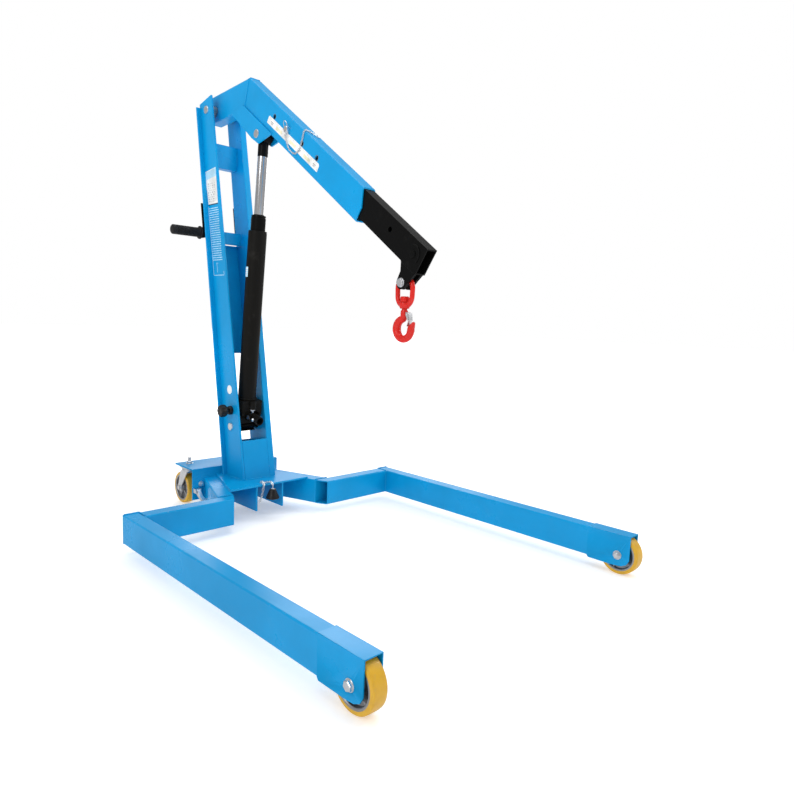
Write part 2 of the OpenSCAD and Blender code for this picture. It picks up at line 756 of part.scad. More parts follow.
castor_axle_r = 6;
module castor_fork(side) {
    x = side * castor_x;
    cheek = [
        [castor_y - 26, fork_crown + fork_t], [castor_y + 26, fork_crown + fork_t],
        [castor_wheel_y + 14, wheel_r + 8], [castor_wheel_y + 14, wheel_r - 12],
        [castor_wheel_y - 14, wheel_r - 12], [castor_wheel_y - 16, wheel_r + 10]];
    difference() {
        union() {
            for (x0 = [-fork_in - fork_t, fork_in]) side_plate(cheek, x + x0, fork_t);
            translate([x - fork_in, castor_y - 26, fork_crown]) cube([2 * fork_in, 52, fork_t]);
            translate([x, castor_y, fork_crown + fork_t])
                cylinder(r = 26, h = head_z - fork_crown - fork_t - 0.4);
        }
        translate([x, castor_y, fork_crown - eps]) cylinder(r = kingpin_r + run_gap, h = 40);
        x_rod(castor_axle_r, x - 40, x + 40, castor_wheel_y, wheel_r);
    }
}
module castor_fork_left() color(zinc) placed() castor_fork(-1);
module castor_fork_right() color(zinc) placed() castor_fork(1);

module castor_axle(side) {
    x = side * castor_x;
    x_rod(castor_axle_r, x - fork_in - fork_t, x + fork_in + fork_t + 8, castor_wheel_y, wheel_r);
    x_hex(10, x - fork_in - fork_t - 7, x - fork_in - fork_t, castor_wheel_y, wheel_r);
    x_hex(10, x + fork_in + fork_t, x + fork_in + fork_t + 7, castor_wheel_y, wheel_r);
}
module castor_axle_left() color(zinc) placed() castor_axle(-1);
module castor_axle_right() color(zinc) placed() castor_axle(1);

module castor_tyre_left() color(amber) placed() tyre(-castor_x, castor_wheel_y, castor_wheel_w);
module castor_tyre_right() color(amber) placed() tyre(castor_x, castor_wheel_y, castor_wheel_w);
module castor_hub_left() color(zinc) placed()
    hub(-castor_x, castor_wheel_y, castor_wheel_w, castor_axle_r + run_gap);
module castor_hub_right() color(zinc) placed()
    hub(castor_x, castor_wheel_y, castor_wheel_w, castor_axle_r + run_gap);

// ---- what each name draws ----
leg_left();
leg_right();
leg_end_caps();
wheel_housings();
cross_arms();
chassis_braces();
chassis_ribs();
foot_plate();
castor_bridge();
castor_plates();
castor_kingpins();
front_axles();
mast_web_left();
mast_web_right();
mast_cross_plates();
mast_foot_plates();
pivot_pin();
pivot_spacers();
ram_base_pin();
handle_straps();
handle_bar();
handle_grips();
brake_pivots();
park_knob();
release_knob();
boom_rear();
boom_front();
ram_bracket();
ram_top_pin();
lock_pin();
extension_tube();
hanger_fork();
hanger_bolt();
hook_bow();
swivel_nut();
hook();
hook_latch();
ram_cylinder();
gland_collar();
base_lug();
pump_block();
lever_socket();
pump_plunger();
ram_piston();
ram_rod();
rod_end();
front_tyre_left();
front_tyre_right();
front_hub_left();
front_hub_right();
castor_fork_left();
castor_fork_right();
castor_axle_left();
castor_axle_right();
castor_tyre_left();
castor_tyre_right();
castor_hub_left();
castor_hub_right();
brake_pedal_left();
brake_pedal_right();
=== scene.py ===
"""Looks for the workshop crane: every CAD node gets its finished mesh and a procedural material."""

import json
import math
import random

import bmesh
import bpy
from mathutils import Matrix, Vector

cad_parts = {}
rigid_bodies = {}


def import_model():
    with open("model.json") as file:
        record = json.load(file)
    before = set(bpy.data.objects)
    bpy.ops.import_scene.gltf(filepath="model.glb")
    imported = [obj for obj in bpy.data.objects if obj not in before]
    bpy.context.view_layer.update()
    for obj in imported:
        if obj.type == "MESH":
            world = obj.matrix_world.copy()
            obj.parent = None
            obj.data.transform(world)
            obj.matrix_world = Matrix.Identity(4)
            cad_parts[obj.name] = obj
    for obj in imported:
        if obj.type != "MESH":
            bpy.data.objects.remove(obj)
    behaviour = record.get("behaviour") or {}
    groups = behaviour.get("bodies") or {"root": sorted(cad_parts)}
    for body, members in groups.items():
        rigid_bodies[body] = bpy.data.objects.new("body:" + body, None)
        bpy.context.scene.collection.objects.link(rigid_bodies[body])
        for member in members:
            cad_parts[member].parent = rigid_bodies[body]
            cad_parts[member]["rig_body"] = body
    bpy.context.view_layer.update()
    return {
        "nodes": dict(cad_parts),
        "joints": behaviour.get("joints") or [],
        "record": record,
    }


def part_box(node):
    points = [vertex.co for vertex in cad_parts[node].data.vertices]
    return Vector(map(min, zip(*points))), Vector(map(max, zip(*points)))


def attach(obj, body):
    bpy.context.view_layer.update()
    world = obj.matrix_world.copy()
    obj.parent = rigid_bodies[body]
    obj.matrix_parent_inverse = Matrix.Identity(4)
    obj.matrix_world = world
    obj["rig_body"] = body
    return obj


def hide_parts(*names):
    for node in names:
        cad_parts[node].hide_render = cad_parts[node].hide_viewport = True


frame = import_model()

MM = 0.001
X, Y, Z = Vector((1, 0, 0)), Vector((0, 1, 0)), Vector((0, 0, 1))
rng = random.Random(7)

# millimetres: y from the rear face of the cross arms, z from the floor
WHEEL_R = 62.5                          # radius of every wheel, and the height of its centre
FRONT_X, FRONT_Y = 538.5, -1092         # front wheels
LEG_HALF = 25
HOUSING_START = -990                    # where the leg ends and the wheel housing begins
CASTOR_X, CASTOR_Y = 150, 385           # the castors' swivel axis
CASTOR_WHEEL_Y = 419
PLATE_TOP = 133.5                       # top of the foot plate
WEB_X = 62                              # outer face of the mast's webs
WEB_REAR_FOOT, WEB_FRONT_FOOT = 251.3, 123.8
PIVOT_Y, PIVOT_Z = 414, 1534.5          # boom's pivot pin
RAM_FOOT_Y, RAM_FOOT_Z = 220, 327.5     # ram base pin
GRIP_Y, GRIP_Z = 420, 1070.5            # handle bar
RELEASE_Y, RELEASE_Z = 218, 391.5       # release valve's stem
BOW_FOOT, SWIVEL_NUT, BOWL = 790, 808.4, 732    # heights down the hook
KNOB_X, KNOB_Y = -12, 4                 # parked knob
SOCKET = (0, -56, 46)                   # lever socket's hinge, in on_ram()'s terms
SOCKET_TILT = math.radians(8)
PLUNGER = -44                           # pump plunger, ahead of the ram's axis
REAR_SLOPE = math.radians(2.52)         # fall of the boom's rear section

# millimetres along and below the top of the boom's front section
INDEX_HOLES = (232, 332, 432, 532)
INDEX_N = 40
BOOM_HALF = 25
NOSE = (1080, 46)                       # stop pin of the extension

# ---------------------------------------------------------------- places
nodes = frame["nodes"]
joints = {j["name"]: j for j in frame["joints"]}
body_of_node = {n: o["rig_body"] for n, o in nodes.items()}
slot_of_node = {s["node"]: s["material_slot"] for s in frame["record"]["subparts"]}
arm_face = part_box("cross_arms")[1].y


def at(x, y, z):
    """A point given in millimetres: y from the rear face of the cross arms, z from the floor."""
    return Vector((x * MM, arm_face + y * MM, z * MM))


def joint_at(name):
    return Vector(joints[name]["pos_m"])


boom_dir = Vector(joints["extension_slide"]["axis"]).normalized()
boom_down = Vector((0, -boom_dir.z, boom_dir.y))
apex = max((v.co for v in nodes["boom_front"].data.vertices), key=lambda co: co.z).copy()
apex.x = 0
ram_up = -Vector(joints["ram_extend"]["axis"]).normalized()
ram_fore = Vector((0, -ram_up.z, ram_up.y))
ram_top = joint_at("rod_pivot")
bolt = joint_at("bow_swing")


def on_boom(x, s, n):
    """A point on the boom's front section, in millimetres: s along its top, n square to it."""
    return apex + X * x * MM + boom_dir * s * MM + boom_down * n * MM


# ---------------------------------------------------------------- materials
def new_material(name):
    mat = bpy.data.materials.new(name)
    mat.use_nodes = True
    tree = mat.node_tree
    tree.nodes.clear()
    out = tree.nodes.new("ShaderNodeOutputMaterial")
    shader = tree.nodes.new("ShaderNodeBsdfPrincipled")
    tree.links.new(shader.outputs[0], out.inputs[0])
    coords = tree.nodes.new("ShaderNodeTexCoord").outputs["Object"]
    return mat, tree, shader, coords


def noise(tree, coords, scale, detail=4.0, rough=0.55, stretch=None):
    if stretch:
        mapping = tree.nodes.new("ShaderNodeMapping")
        mapping.inputs["Scale"].default_value = stretch
        tree.links.new(coords, mapping.inputs["Vector"])
        coords = mapping.outputs[0]
    node = tree.nodes.new("ShaderNodeTexNoise")
    node.inputs["Scale"].default_value = scale
    node.inputs["Detail"].default_value = detail
    node.inputs["Roughness"].default_value = rough
    tree.links.new(coords, node.inputs["Vector"])
    return node.outputs["Fac"]


def ramp(tree, value, low, high, colour_a, colour_b):
    node = tree.nodes.new("ShaderNodeValToRGB")
    node.color_ramp.elements[0].position = low
    node.color_ramp.elements[1].position = high
    node.color_ramp.elements[0].color = (*colour_a, 1)
    node.color_ramp.elements[1].color = (*colour_b, 1)
    tree.links.new(value, node.inputs[0])
    return node.outputs["Color"]


def spread(tree, value, low, high, to_low, to_high):
    node = tree.nodes.new("ShaderNodeMapRange")
    node.inputs["From Min"].default_value = low
    node.inputs["From Max"].default_value = high
    node.inputs["To Min"].default_value = to_low
    node.inputs["To Max"].default_value = to_high
    tree.links.new(value, node.inputs["Value"])
    return node.outputs[0]


def mix(tree, factor, a, b):
    node = tree.nodes.new("ShaderNodeMix")
    node.data_type = "RGBA"
    for socket, value in ((node.inputs["Factor"], factor), (node.inputs[6], a), (node.inputs[7], b)):
        if isinstance(value, (tuple, float)):
            socket.default_value = (*value, 1) if isinstance(value, tuple) else value
        else:
            tree.links.new(value, socket)
    return node.outputs[2]


def product(tree, a, b):
    node = tree.nodes.new("ShaderNodeMath")
    node.operation = "MULTIPLY"
    tree.links.new(a, node.inputs[0])
    tree.links.new(b, node.inputs[1])
    return node.outputs[0]


def bump(tree, shader, height, strength, distance):
    node = tree.nodes.new("ShaderNodeBump")
    node.inputs["Strength"].default_value = strength
    node.inputs["Distance"].default_value = distance
    tree.links.new(height, node.inputs["Height"])
    tree.links.new(node.outputs[0], shader.inputs["Normal"])


DUST = (0.55, 0.52, 0.47)
PRIMER = (0.30, 0.31, 0.32)
STAIN = (0.30, 0.27, 0.23)


def painted(name, colour, rough, gloss, dust, wear, peel=0.12):
    """Sprayed enamel: slight orange peel, cloudy gloss, thin dust, and rubbed corners."""
    mat, tree, shader, coords = new_material(name)
    shader.inputs["Specular IOR Level"].default_value = gloss
    shade = tuple(c * 0.86 for c in colour)
    clouds = noise(tree, coords, 5.0, 5.0)
    base = ramp(tree, clouds, 0.35, 0.68, shade, colour)
    grime = spread(tree, noise(tree, coords, 17.0, 8.0, 0.7), 0.56, 0.82, 0.0, dust)
    base = mix(tree, grime, base, DUST)
    edge = tree.nodes.new("ShaderNodeAttribute")
    edge.attribute_name = "rounded"
    edge = edge.outputs["Fac"]
    chips = spread(tree, noise(tree, coords, 95.0, 6.0, 0.75), 0.60, 0.66, 0.0, wear)
    base = mix(tree, product(tree, edge, chips), base, PRIMER)
    tree.links.new(base, shader.inputs["Base Color"])
    tree.links.new(spread(tree, clouds, 0.3, 0.7, rough + 0.07, rough - 0.05), shader.inputs["Roughness"])
    bump(tree, shader, noise(tree, coords, 260.0, 2.0), peel, 0.0006)
    return mat


def metallic(name, colour, rough, grain=0.15, stretch=None, stain=0.25):
    """Plated or machined metal: fine grain, patchy dulling and a few stains."""
    mat, tree, shader, coords = new_material(name)
    shader.inputs["Metallic"].default_value = 1.0
    patches = noise(tree, coords, 38.0, 6.0, 0.65)
    base = ramp(tree, patches, 0.30, 0.72, tuple(c * 0.78 for c in colour), colour)
    marks = spread(tree, noise(tree, coords, 75.0, 8.0, 0.75), 0.60, 0.80, 0.0, stain)
    base = mix(tree, marks, base, STAIN)
    tree.links.new(base, shader.inputs["Base Color"])
    tree.links.new(spread(tree, patches, 0.3, 0.7, rough + 0.12, rough), shader.inputs["Roughness"])
    bump(tree, shader, noise(tree, coords, 420.0, 3.0, 0.6, stretch), grain, 0.0004)
    return mat


def moulded(name, colour, rough, texture=0.25, specular=0.4):
    """Rubber or plastic: a fine moulded texture and slightly uneven sheen."""
    mat, tree, shader, coords = new_material(name)
    shader.inputs["Specular IOR Level"].default_value = specular
    patches = noise(tree, coords, 24.0, 5.0, 0.6)
    dark, light = tuple(c * 0.75 for c in colour), tuple(min(1, c * 1.2) for c in colour)
    base = ramp(tree, patches, 0.3, 0.7, dark, light)
    dust = spread(tree, noise(tree, coords, 60.0, 7.0, 0.7), 0.58, 0.80, 0.0, 0.16)
    base = mix(tree, dust, base, (0.42, 0.40, 0.37))
    tree.links.new(base, shader.inputs["Base Color"])
    tree.links.new(spread(tree, patches, 0.3, 0.7, rough + 0.08, rough - 0.05), shader.inputs["Roughness"])
    bump(tree, shader, noise(tree, coords, 650.0, 3.0), texture, 0.0005)
    return mat


def polyurethane():
    """Cast amber tread, slightly translucent, scuffed where it rolls."""
    mat, tree, shader, coords = new_material("amber_tread")
    shader.inputs["Subsurface Weight"].default_value = 0.15
    shader.inputs["Subsurface Radius"].default_value = (0.006, 0.003, 0.001)
    shader.inputs["Coat Weight"].default_value = 0.2
    patches = noise(tree, coords, 28.0, 5.0, 0.6)
    base = ramp(tree, patches, 0.28, 0.75, (0.60, 0.33, 0.012), (0.74, 0.43, 0.018))
    scuff = spread(tree, noise(tree, coords, 140.0, 8.0, 0.75), 0.55, 0.78, 0.0, 0.35)
    base = mix(tree, scuff, base, (0.36, 0.27, 0.15))
    tree.links.new(base, shader.inputs["Base Color"])
    tree.links.new(spread(tree, patches, 0.3, 0.7, 0.42, 0.28), shader.inputs["Roughness"])
    bump(tree, shader, noise(tree, coords, 300.0, 4.0), 0.2, 0.0005)
    return mat


BLUE = (0.0, 0.310, 0.665)
MATERIALS = {
    "blue_paint": painted("blue_paint", BLUE, rough=0.30, gloss=0.22, dust=0.02, wear=0.4),
    "black_paint": painted("black_paint", (0.0035, 0.0035, 0.0035), rough=0.30, gloss=0.09, peel=0.2,
                           dust=0.015, wear=0.2),
    "ram_black": painted("ram_black", (0.0065, 0.0058, 0.0048), rough=0.40, gloss=0.12, peel=0.25,
                         dust=0.03, wear=0.15),
    "red_paint": painted("red_paint", (0.66, 0.012, 0.006), rough=0.28, gloss=0.4, peel=0.3,
                         dust=0.03, wear=0.4),
    "grip_rubber": moulded("grip_rubber", (0.008, 0.008, 0.009), 0.5, specular=0.3),
    "black_plastic": moulded("black_plastic", (0.008, 0.008, 0.009), 0.36, texture=0.15, specular=0.3),
    "zinc_plate": metallic("zinc_plate", (0.90, 0.91, 0.93), 0.26, stain=0.15),
    "bare_steel": metallic("bare_steel", (0.46, 0.45, 0.44), 0.30, stain=0.4),
    "rod_chrome": metallic("rod_chrome", (0.74, 0.74, 0.76), 0.07, grain=0.04, stain=0.05,
                           stretch=(1, 1, 0.05)),
    "amber_tread": polyurethane(),
    "wheel_iron": metallic("wheel_iron", (0.50, 0.50, 0.51), 0.36, grain=0.4, stain=0.45),
}
white_vinyl = moulded("white_vinyl", (0.80, 0.80, 0.78), 0.35, texture=0.05)
grey_print = moulded("grey_print", (0.36, 0.37, 0.38), 0.4, texture=0.05)
pale_print = moulded("pale_print", (0.42, 0.68, 0.86), 0.4, texture=0.05)
# painted shadow: a near-black sheet standing in for the shade along the mast label's lower edge
painted_shadow_sheet = moulded("shadow_gap", (0.01, 0.01, 0.012), 0.6)


# ---------------------------------------------------------------- mesh tools
def finish_piece(name, bm, body, material, node=None, angle=32):
    """Turns a bmesh into a piece: smooth shading with sharp edges, its body and its node."""
    mesh = bpy.data.meshes.new(name)
    bmesh.ops.recalc_face_normals(bm, faces=bm.faces)
    bm.to_mesh(mesh)
    bm.free()
    mesh.shade_smooth()
    mesh.set_sharp_from_angle(angle=math.radians(angle))
    obj = bpy.data.objects.new(name, mesh)
    bpy.context.scene.collection.objects.link(obj)
    even = obj.modifiers.new("even_normals", "WEIGHTED_NORMAL")
    even.keep_sharp = True
    even.weight = 80
    named = isinstance(material, str)
    mesh.materials.append(MATERIALS[material] if named else material)
    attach(obj, body)
    if node:
        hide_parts(node)
    return obj


def node_bmesh(node):
    """A clean copy of a CAD node's mesh: joined corners, and flat faces without their triangles."""
    bm = bmesh.new()
    bm.from_mesh(nodes[node].data)
    bmesh.ops.remove_doubles(bm, verts=bm.verts, dist=2e-6)
    bmesh.ops.dissolve_limit(bm, angle_limit=math.radians(0.6), verts=bm.verts, edges=bm.edges)
    bm.normal_update()
    return bm


def sharp_edges(bm):
    limit = math.radians(40)
    return [e for e in bm.edges if len(e.link_faces) == 2 and e.calc_face_angle(0) > limit]


def round_edges(bm, edges, radius, segments):
    layer = bm.faces.layers.float.get("rounded") or bm.faces.layers.float.new("rounded")
    if edges:
        made = bmesh.ops.bevel(bm, geom=edges, offset=radius * MM, offset_type="OFFSET", segments=segments,
                               profile=0.5, affect="EDGES", clamp_overlap=True)
        for face in made["faces"]:
            face[layer] = 1.0
        bm.normal_update()


def along(bm, directions, convex=True):
    """Edges that run along one of the directions, on outside corners or, with convex False, inside ones."""
    found = []
    for e in sharp_edges(bm):
        run = e.verts[1].co - e.verts[0].co
        if run.length < 50 * MM or e.is_convex != convex:
            continue
        if any(abs(run.normalized().dot(d)) > 0.9985 for d in directions):
            found.append(e)
    return found


def skin(node, material=None, edge=0.8, corners=(), corner_radius=6.0, spare=None):
    """Stands a finished copy of a CAD node in its place: rounded tube corners, then all other edges eased."""
    bm = node_bmesh(node)
    if corners:
        round_edges(bm, [e for e in along(bm, corners) if not (spare and spare(e))], corner_radius, 5)
        round_edges(bm, along(bm, corners, convex=False), corner_radius * 0.4, 2)
    if edge:
        round_edges(bm, [e for e in sharp_edges(bm) if not (spare and spare(e))], edge, 2)
    return finish_piece(node + "_body", bm, body_of_node[node], material or slot_of_node[node],
                        node=node)


def frame_of(axis, side=None):
    """A rotation whose z runs along axis."""
    z = Vector(axis).normalized()
    x = Vector(side) if side is not None else (X if abs(z.x) < 0.9 else Y)
    x = (x - z * x.dot(z)).normalized()
    return Matrix((x, z.cross(x), z)).transposed().to_4x4()


def placed(axis, origin, side=None):
    return Matrix.Translation(origin) @ frame_of(axis, side)


def spin(bm, profile, matrix, count=48):
    """Turns a profile of (radius, height) in millimetres about the matrix's z axis."""
    rings = []
    for r, h in profile:
        if r < 1e-6:
            rings.append([bm.verts.new(matrix @ Vector((0, 0, h * MM)))])
            continue
        ring = []
        for i in range(count):
            a = 2 * math.pi * i / count
            ring.append(bm.verts.new(matrix @ (Vector((r * math.cos(a), r * math.sin(a), h)) * MM)))
        rings.append(ring)
    for a, b in zip(rings, rings[1:]):
        for i in range(count):
            j = (i + 1) % count
            if len(a) == 1 and len(b) == 1:
                continue
            if len(a) == 1:
                bm.faces.new((a[0], b[i], b[j]))
            elif len(b) == 1:
                bm.faces.new((a[i], a[j], b[0]))
            else:
                bm.faces.new((a[i], a[j], b[j], b[i]))


def spun(name, body, material, profile, matrix, count, node=None):
    """A piece made of one turned profile."""
    bm = bmesh.new()
    spin(bm, profile, matrix, count)
    finish_piece(name, bm, body, material, node=node)


def tube(bm, points, radii, count=12, closed=False, side=X):
    """Sweeps a round section along points; radii in millimetres, one or one per point."""
    points = [Vector(p) for p in points]
    total = len(points)
    if not isinstance(radii, (list, tuple)):
        radii = [radii] * total
    rings = []
    for i, p in enumerate(points):
        before = points[(i - 1) % total] if closed or i else p
        after = points[(i + 1) % total] if closed or i < total - 1 else p
        t = (after - before).normalized()
        u = side - t * side.dot(t)
        u = u.normalized() if u.length > 0.05 else t.orthogonal().normalized()
        v = t.cross(u)
        r = radii[i] * MM
        rings.append([bm.verts.new(p + (u * math.cos(a) + v * math.sin(a)) * r)
                      for a in (2 * math.pi * k / count for k in range(count))])
    pairs = list(zip(rings, rings[1:])) + ([(rings[-1], rings[0])] if closed else [])
    for a, b in pairs:
        for i in range(count):
            j = (i + 1) % count
            bm.faces.new((a[i], a[j], b[j], b[i]))
    if not closed:
        bm.faces.new(rings[0])
        bm.faces.new(reversed(rings[-1]))


def slab(bm, outline, normal, thickness, ease=0.0):
    """A flat plate: outline points in space, thickened along normal, in millimetres."""
    push = Vector(normal).normalized() * thickness * MM
    low = [bm.verts.new(p) for p in outline]
    high = [bm.verts.new(Vector(p) + push) for p in outline]
    faces = [bm.faces.new(low), bm.faces.new(list(reversed(high)))]
    count = len(outline)
    for i in range(count):
        j = (i + 1) % count
        faces.append(bm.faces.new((low[i], high[i], high[j], low[j])))
    if ease:
        edges = {e for f in faces[:2] for e in f.edges}
        bmesh.ops.bevel(bm, geom=list(edges), offset=ease * MM, segments=2, profile=0.5, affect="EDGES",
                        clamp_overlap=True)


def hexagon(bm, r, h, matrix, chamfer=1.4):
    """A hexagon head or nut, r across corners, sitting at the matrix's origin."""
    spin(bm, [(0, 0), (r, 0), (r, h - chamfer), (r - chamfer * 1.3, h), (0, h)], matrix, 6)


def arc(centre, u, v, r, start, end, steps):
    """Points on a circle, angles in degrees, r in millimetres."""
    return [centre + (u * math.cos(math.radians(a)) + v * math.sin(math.radians(a))) * r * MM
            for a in (start + (end - start) * i / (steps - 1) for i in range(steps))]


def resample(points, pitch):
    """Points spaced evenly along a polyline, pitch in millimetres."""
    out, carry = [points[0].copy()], 0.0
    step = pitch * MM
    for a, b in zip(points, points[1:]):
        length = (b - a).length
        d = step - carry
        while d <= length:
            out.append(a.lerp(b, d / length))
            d += step
        carry = length - (d - step)
    return out


def smooth_path(points):
    """A Catmull-Rom curve through the points."""
    steps = 6
    pts = [points[0] * 2 - points[1]] + points + [points[-1] * 2 - points[-2]]
    out = []
    for a, b, c, d in zip(pts, pts[1:], pts[2:], pts[3:]):
        for i in range(steps):
            t = i / steps
            out.append(0.5 * (2 * b + (c - a) * t + (2 * a - 5 * b + 4 * c - d) * t * t
                              + (3 * b - a - 3 * c + d) * t ** 3))
    out.append(pts[-2])
    return out


def chain(bm, route, wire, length, width, side=X):
    """Welded links along a route, each turned a quarter from the last."""
    spots = resample(route, length - 2 * wire - 0.8)
    for i, (a, b) in enumerate(zip(spots, spots[1:])):
        mid, run = (a + b) / 2, (b - a).normalized()
        u = side - run * side.dot(run)
        u = u.normalized() if u.length > 0.1 else run.orthogonal().normalized()
        if i % 2:
            u = run.cross(u)
        half, r = (length - width) / 2, width / 2 - wire
        loop = (arc(mid + run * half * MM, u, run, r, 0, 180, 7)
                + arc(mid - run * half * MM, u, run, r, 180, 360, 7))
        tube(bm, loop, wire, 8, closed=True, side=run.cross(u))


def weld(bm, points, size):
    """A hand-laid bead: overlapping ripples of slightly uneven size."""
    run = resample(points, 1.5)
    radii = [size * (0.80 + 0.16 * (i % 2) + 0.22 * rng.random()) for i in range(len(run))]
    tube(bm, run, radii, 8)


# ---------------------------------------------------------------- chassis
brace_dirs = [(at(142, 280, 0) - at(240, 0, 0)).normalized(), (at(85, 280, 0) - at(178, 0, 0)).normalized()]
brace_dirs += [Vector((-d.x, d.y, d.z)) for d in brace_dirs]
rear_edge = (at(0, 469, 1564.5) - at(0, WEB_REAR_FOOT, PLATE_TOP)).normalized()
front_edge = (at(0, 380, 1583.5) - at(0, WEB_FRONT_FOOT, PLATE_TOP)).normalized()


def leg_joint(e):
    """The butt joint between leg and housing stays square, so the sides run through."""
    return all(abs(v.co.y - at(0, HOUSING_START, 0).y) < 0.3 * MM for v in e.verts)


for leg in ("leg_left", "leg_right"):
    skin(leg, corners=(Y,), corner_radius=5, spare=leg_joint)
skin("leg_end_caps", edge=1.2)
skin("wheel_housings", corners=(Y,), corner_radius=4, edge=0.9, spare=leg_joint)
skin("cross_arms", corners=(X,), corner_radius=6)
skin("chassis_braces", corners=brace_dirs, corner_radius=5)
skin("chassis_ribs", edge=1.0)
skin("foot_plate", edge=1.2)
skin("castor_bridge", corners=(X,), corner_radius=4, edge=0.9)
skin("castor_plates", edge=0.7)


def flange_joint(foot, edge_dir):
    """Picks the edges where a flange strip meets its web, which stay square so that no line shows."""
    def test(e):
        for v in e.verts:
            off = v.co - at(0, foot, PLATE_TOP)
            off.x = 0
            on_face = abs(abs(v.co.x) - WEB_X * MM) <= 0.2 * MM
            if not on_face or (off - edge_dir * off.dot(edge_dir)).length > 10 * MM:
                return False
        return True
    return test


for side, foot, edge_dir in (("left", WEB_REAR_FOOT, rear_edge), ("right", WEB_FRONT_FOOT, front_edge)):
    skin("mast_web_" + side, corners=(edge_dir,), corner_radius=3, edge=0.9,
         spare=flange_joint(foot, edge_dir))
skin("mast_cross_plates", corners=(X,), corner_radius=3)
skin("mast_foot_plates")
skin("pivot_spacers", edge=0.8)
skin("handle_straps", edge=0.9)
skin("handle_bar", edge=1.5)
skin("brake_pivots", edge=0.6)
for side in ("left", "right"):
    skin("brake_pedal_" + side, edge=1.4)


def threaded(bm, matrix, r, low, high):
    """A thread: rings that stand up and sink in turn, closed at the top with a small chamfer."""
    pitch = 0.9
    turns = int((high - low) / pitch)
    profile = [(0, high), (r - 1.2, high), (r - 0.2, high - 0.9)]
    profile += [(r - 0.5 * (i % 2), high - 1.2 - i * pitch / 2) for i in range(2 * turns)]
    spin(bm, profile + [(r, low)], matrix, 28)


def turned(matrix, lift, angle):
    """The matrix moved up its own axis by lift millimetres, then turned."""
    return matrix @ Matrix.Translation((0, 0, lift * MM)) @ Matrix.Rotation(angle, 4, "Z")


# castor kingpins: head under the crown, washer, nut and thread end on top of the bridge
bm = bmesh.new()
for sx in (-1, 1):
    top = placed(Z, at(sx * CASTOR_X, CASTOR_Y, 164))
    low = placed(-Z, at(sx * CASTOR_X, CASTOR_Y, 131.8))
    spin(bm, [(6, 0), (14.5, 0), (14.5, 1.6), (13.9, 2.2), (6, 2.2)], top, 40)
    hexagon(bm, 11, 8.8, turned(top, 1.8, 0.5), 1.5)
    threaded(bm, top, 6, 0, 25)
    spin(bm, [(0, -33), (5.9, -33), (5.9, 0), (0, 0)], top, 28)
    hexagon(bm, 10, 5.5, turned(low, 0, 0.2))
finish_piece("castor_kingpin_set", bm, "chassis", "zinc_plate", node="castor_kingpins")

# front axle bolts, with a washer under each head and nut
bm = bmesh.new()
for sx in (-1, 1):
    out_face = placed(X * sx, at(sx * (FRONT_X + LEG_HALF), FRONT_Y, WHEEL_R))
    in_face = placed(-X * sx, at(sx * (FRONT_X - LEG_HALF), FRONT_Y, WHEEL_R))
    spin(bm, [(0, -50), (7.9, -50), (7.9, 0.2), (0, 0.2)], out_face, 40)
    spin(bm, [(8, 0), (13.8, 0), (13.8, 1.3), (13.2, 1.8), (8, 1.8)], out_face, 48)
    hexagon(bm, 12, 7.2, turned(out_face, 1.4, 0.35), 1.6)
    spin(bm, [(8, 0), (13.8, 0), (13.8, 1.6), (8, 1.6)], in_face, 48)
    hexagon(bm, 12, 7.6, turned(in_face, 1.4, 0.1), 1.6)
    threaded(bm, in_face, 7.8, 0, 11.8)
finish_piece("front_axle_bolts", bm, "chassis", "zinc_plate", node="front_axles")


def headed_pin(bm, y, z, r, near):
    """A plain pin across the mast: domed head on the near side, washer and split pin on the far side."""
    half = WEB_X
    head = 15
    axis = placed(X, at(0, y, z))
    spin(bm, [(0, -half - near), (head - 3, -half - near), (head - 1, -half - near + 0.7), (head, -half - 2),
              (head, -half), (r, -half), (r, half), (head + 2, half), (head + 2, half + 2.6), (r, half + 2.6),
              (r, half + 5.2), (r - 1, half + 6), (0, half + 6)], axis, 56)
    eye = at(half + 4.3, y, z)
    for s in (-1, 1):
        tube(bm, [eye + Z * (r + 4) * MM, eye, eye - Z * (r + 5) * MM + Y * s * 4 * MM], 1.1, 8)
    loop = arc(eye + Z * (r + 5.4) * MM, Y, Z, 2.2, -90, 250, 12)
    tube(bm, loop, 1.1, 8)


for pin, y, z, r, near in (("pivot_pin", PIVOT_Y, PIVOT_Z, 12.45, 5),
                           ("ram_base_pin", RAM_FOOT_Y, RAM_FOOT_Z, 12, 6)):
    bm = bmesh.new()
    headed_pin(bm, y, z, r, near)
    finish_piece(pin + "_body", bm, "chassis", "zinc_plate", node=pin)
spun("ram_base_pin_grease", "chassis", "black_paint", [(12, -54), (12.15, -53.8), (12.15, 53.8), (12, 54)],
     placed(X, at(0, RAM_FOOT_Y, RAM_FOOT_Z)), 56)

# ribbed rubber grips with a thumb flange and a rounded end
bm = bmesh.new()
for sx in (-1, 1):
    axis = placed(X * sx, at(0, GRIP_Y, GRIP_Z))
    profile = [(12, 85), (24, 85), (25, 86), (25, 89), (24, 90.2), (18, 91)]
    for i in range(17):
        h = 93 + i * 5.6
        profile += [(16.4, h), (16.4, h + 1.0), (18.2, h + 1.8), (18.5, h + 3.2), (18.2, h + 4.4)]
    profile += [(18.2, 193), (18.4, 196), (17.4, 199.5), (14.5, 201.6), (9, 202), (0, 202)]
    spin(bm, profile, axis, 56)
finish_piece("grip_pair", bm, "chassis", "grip_rubber", node="handle_grips")

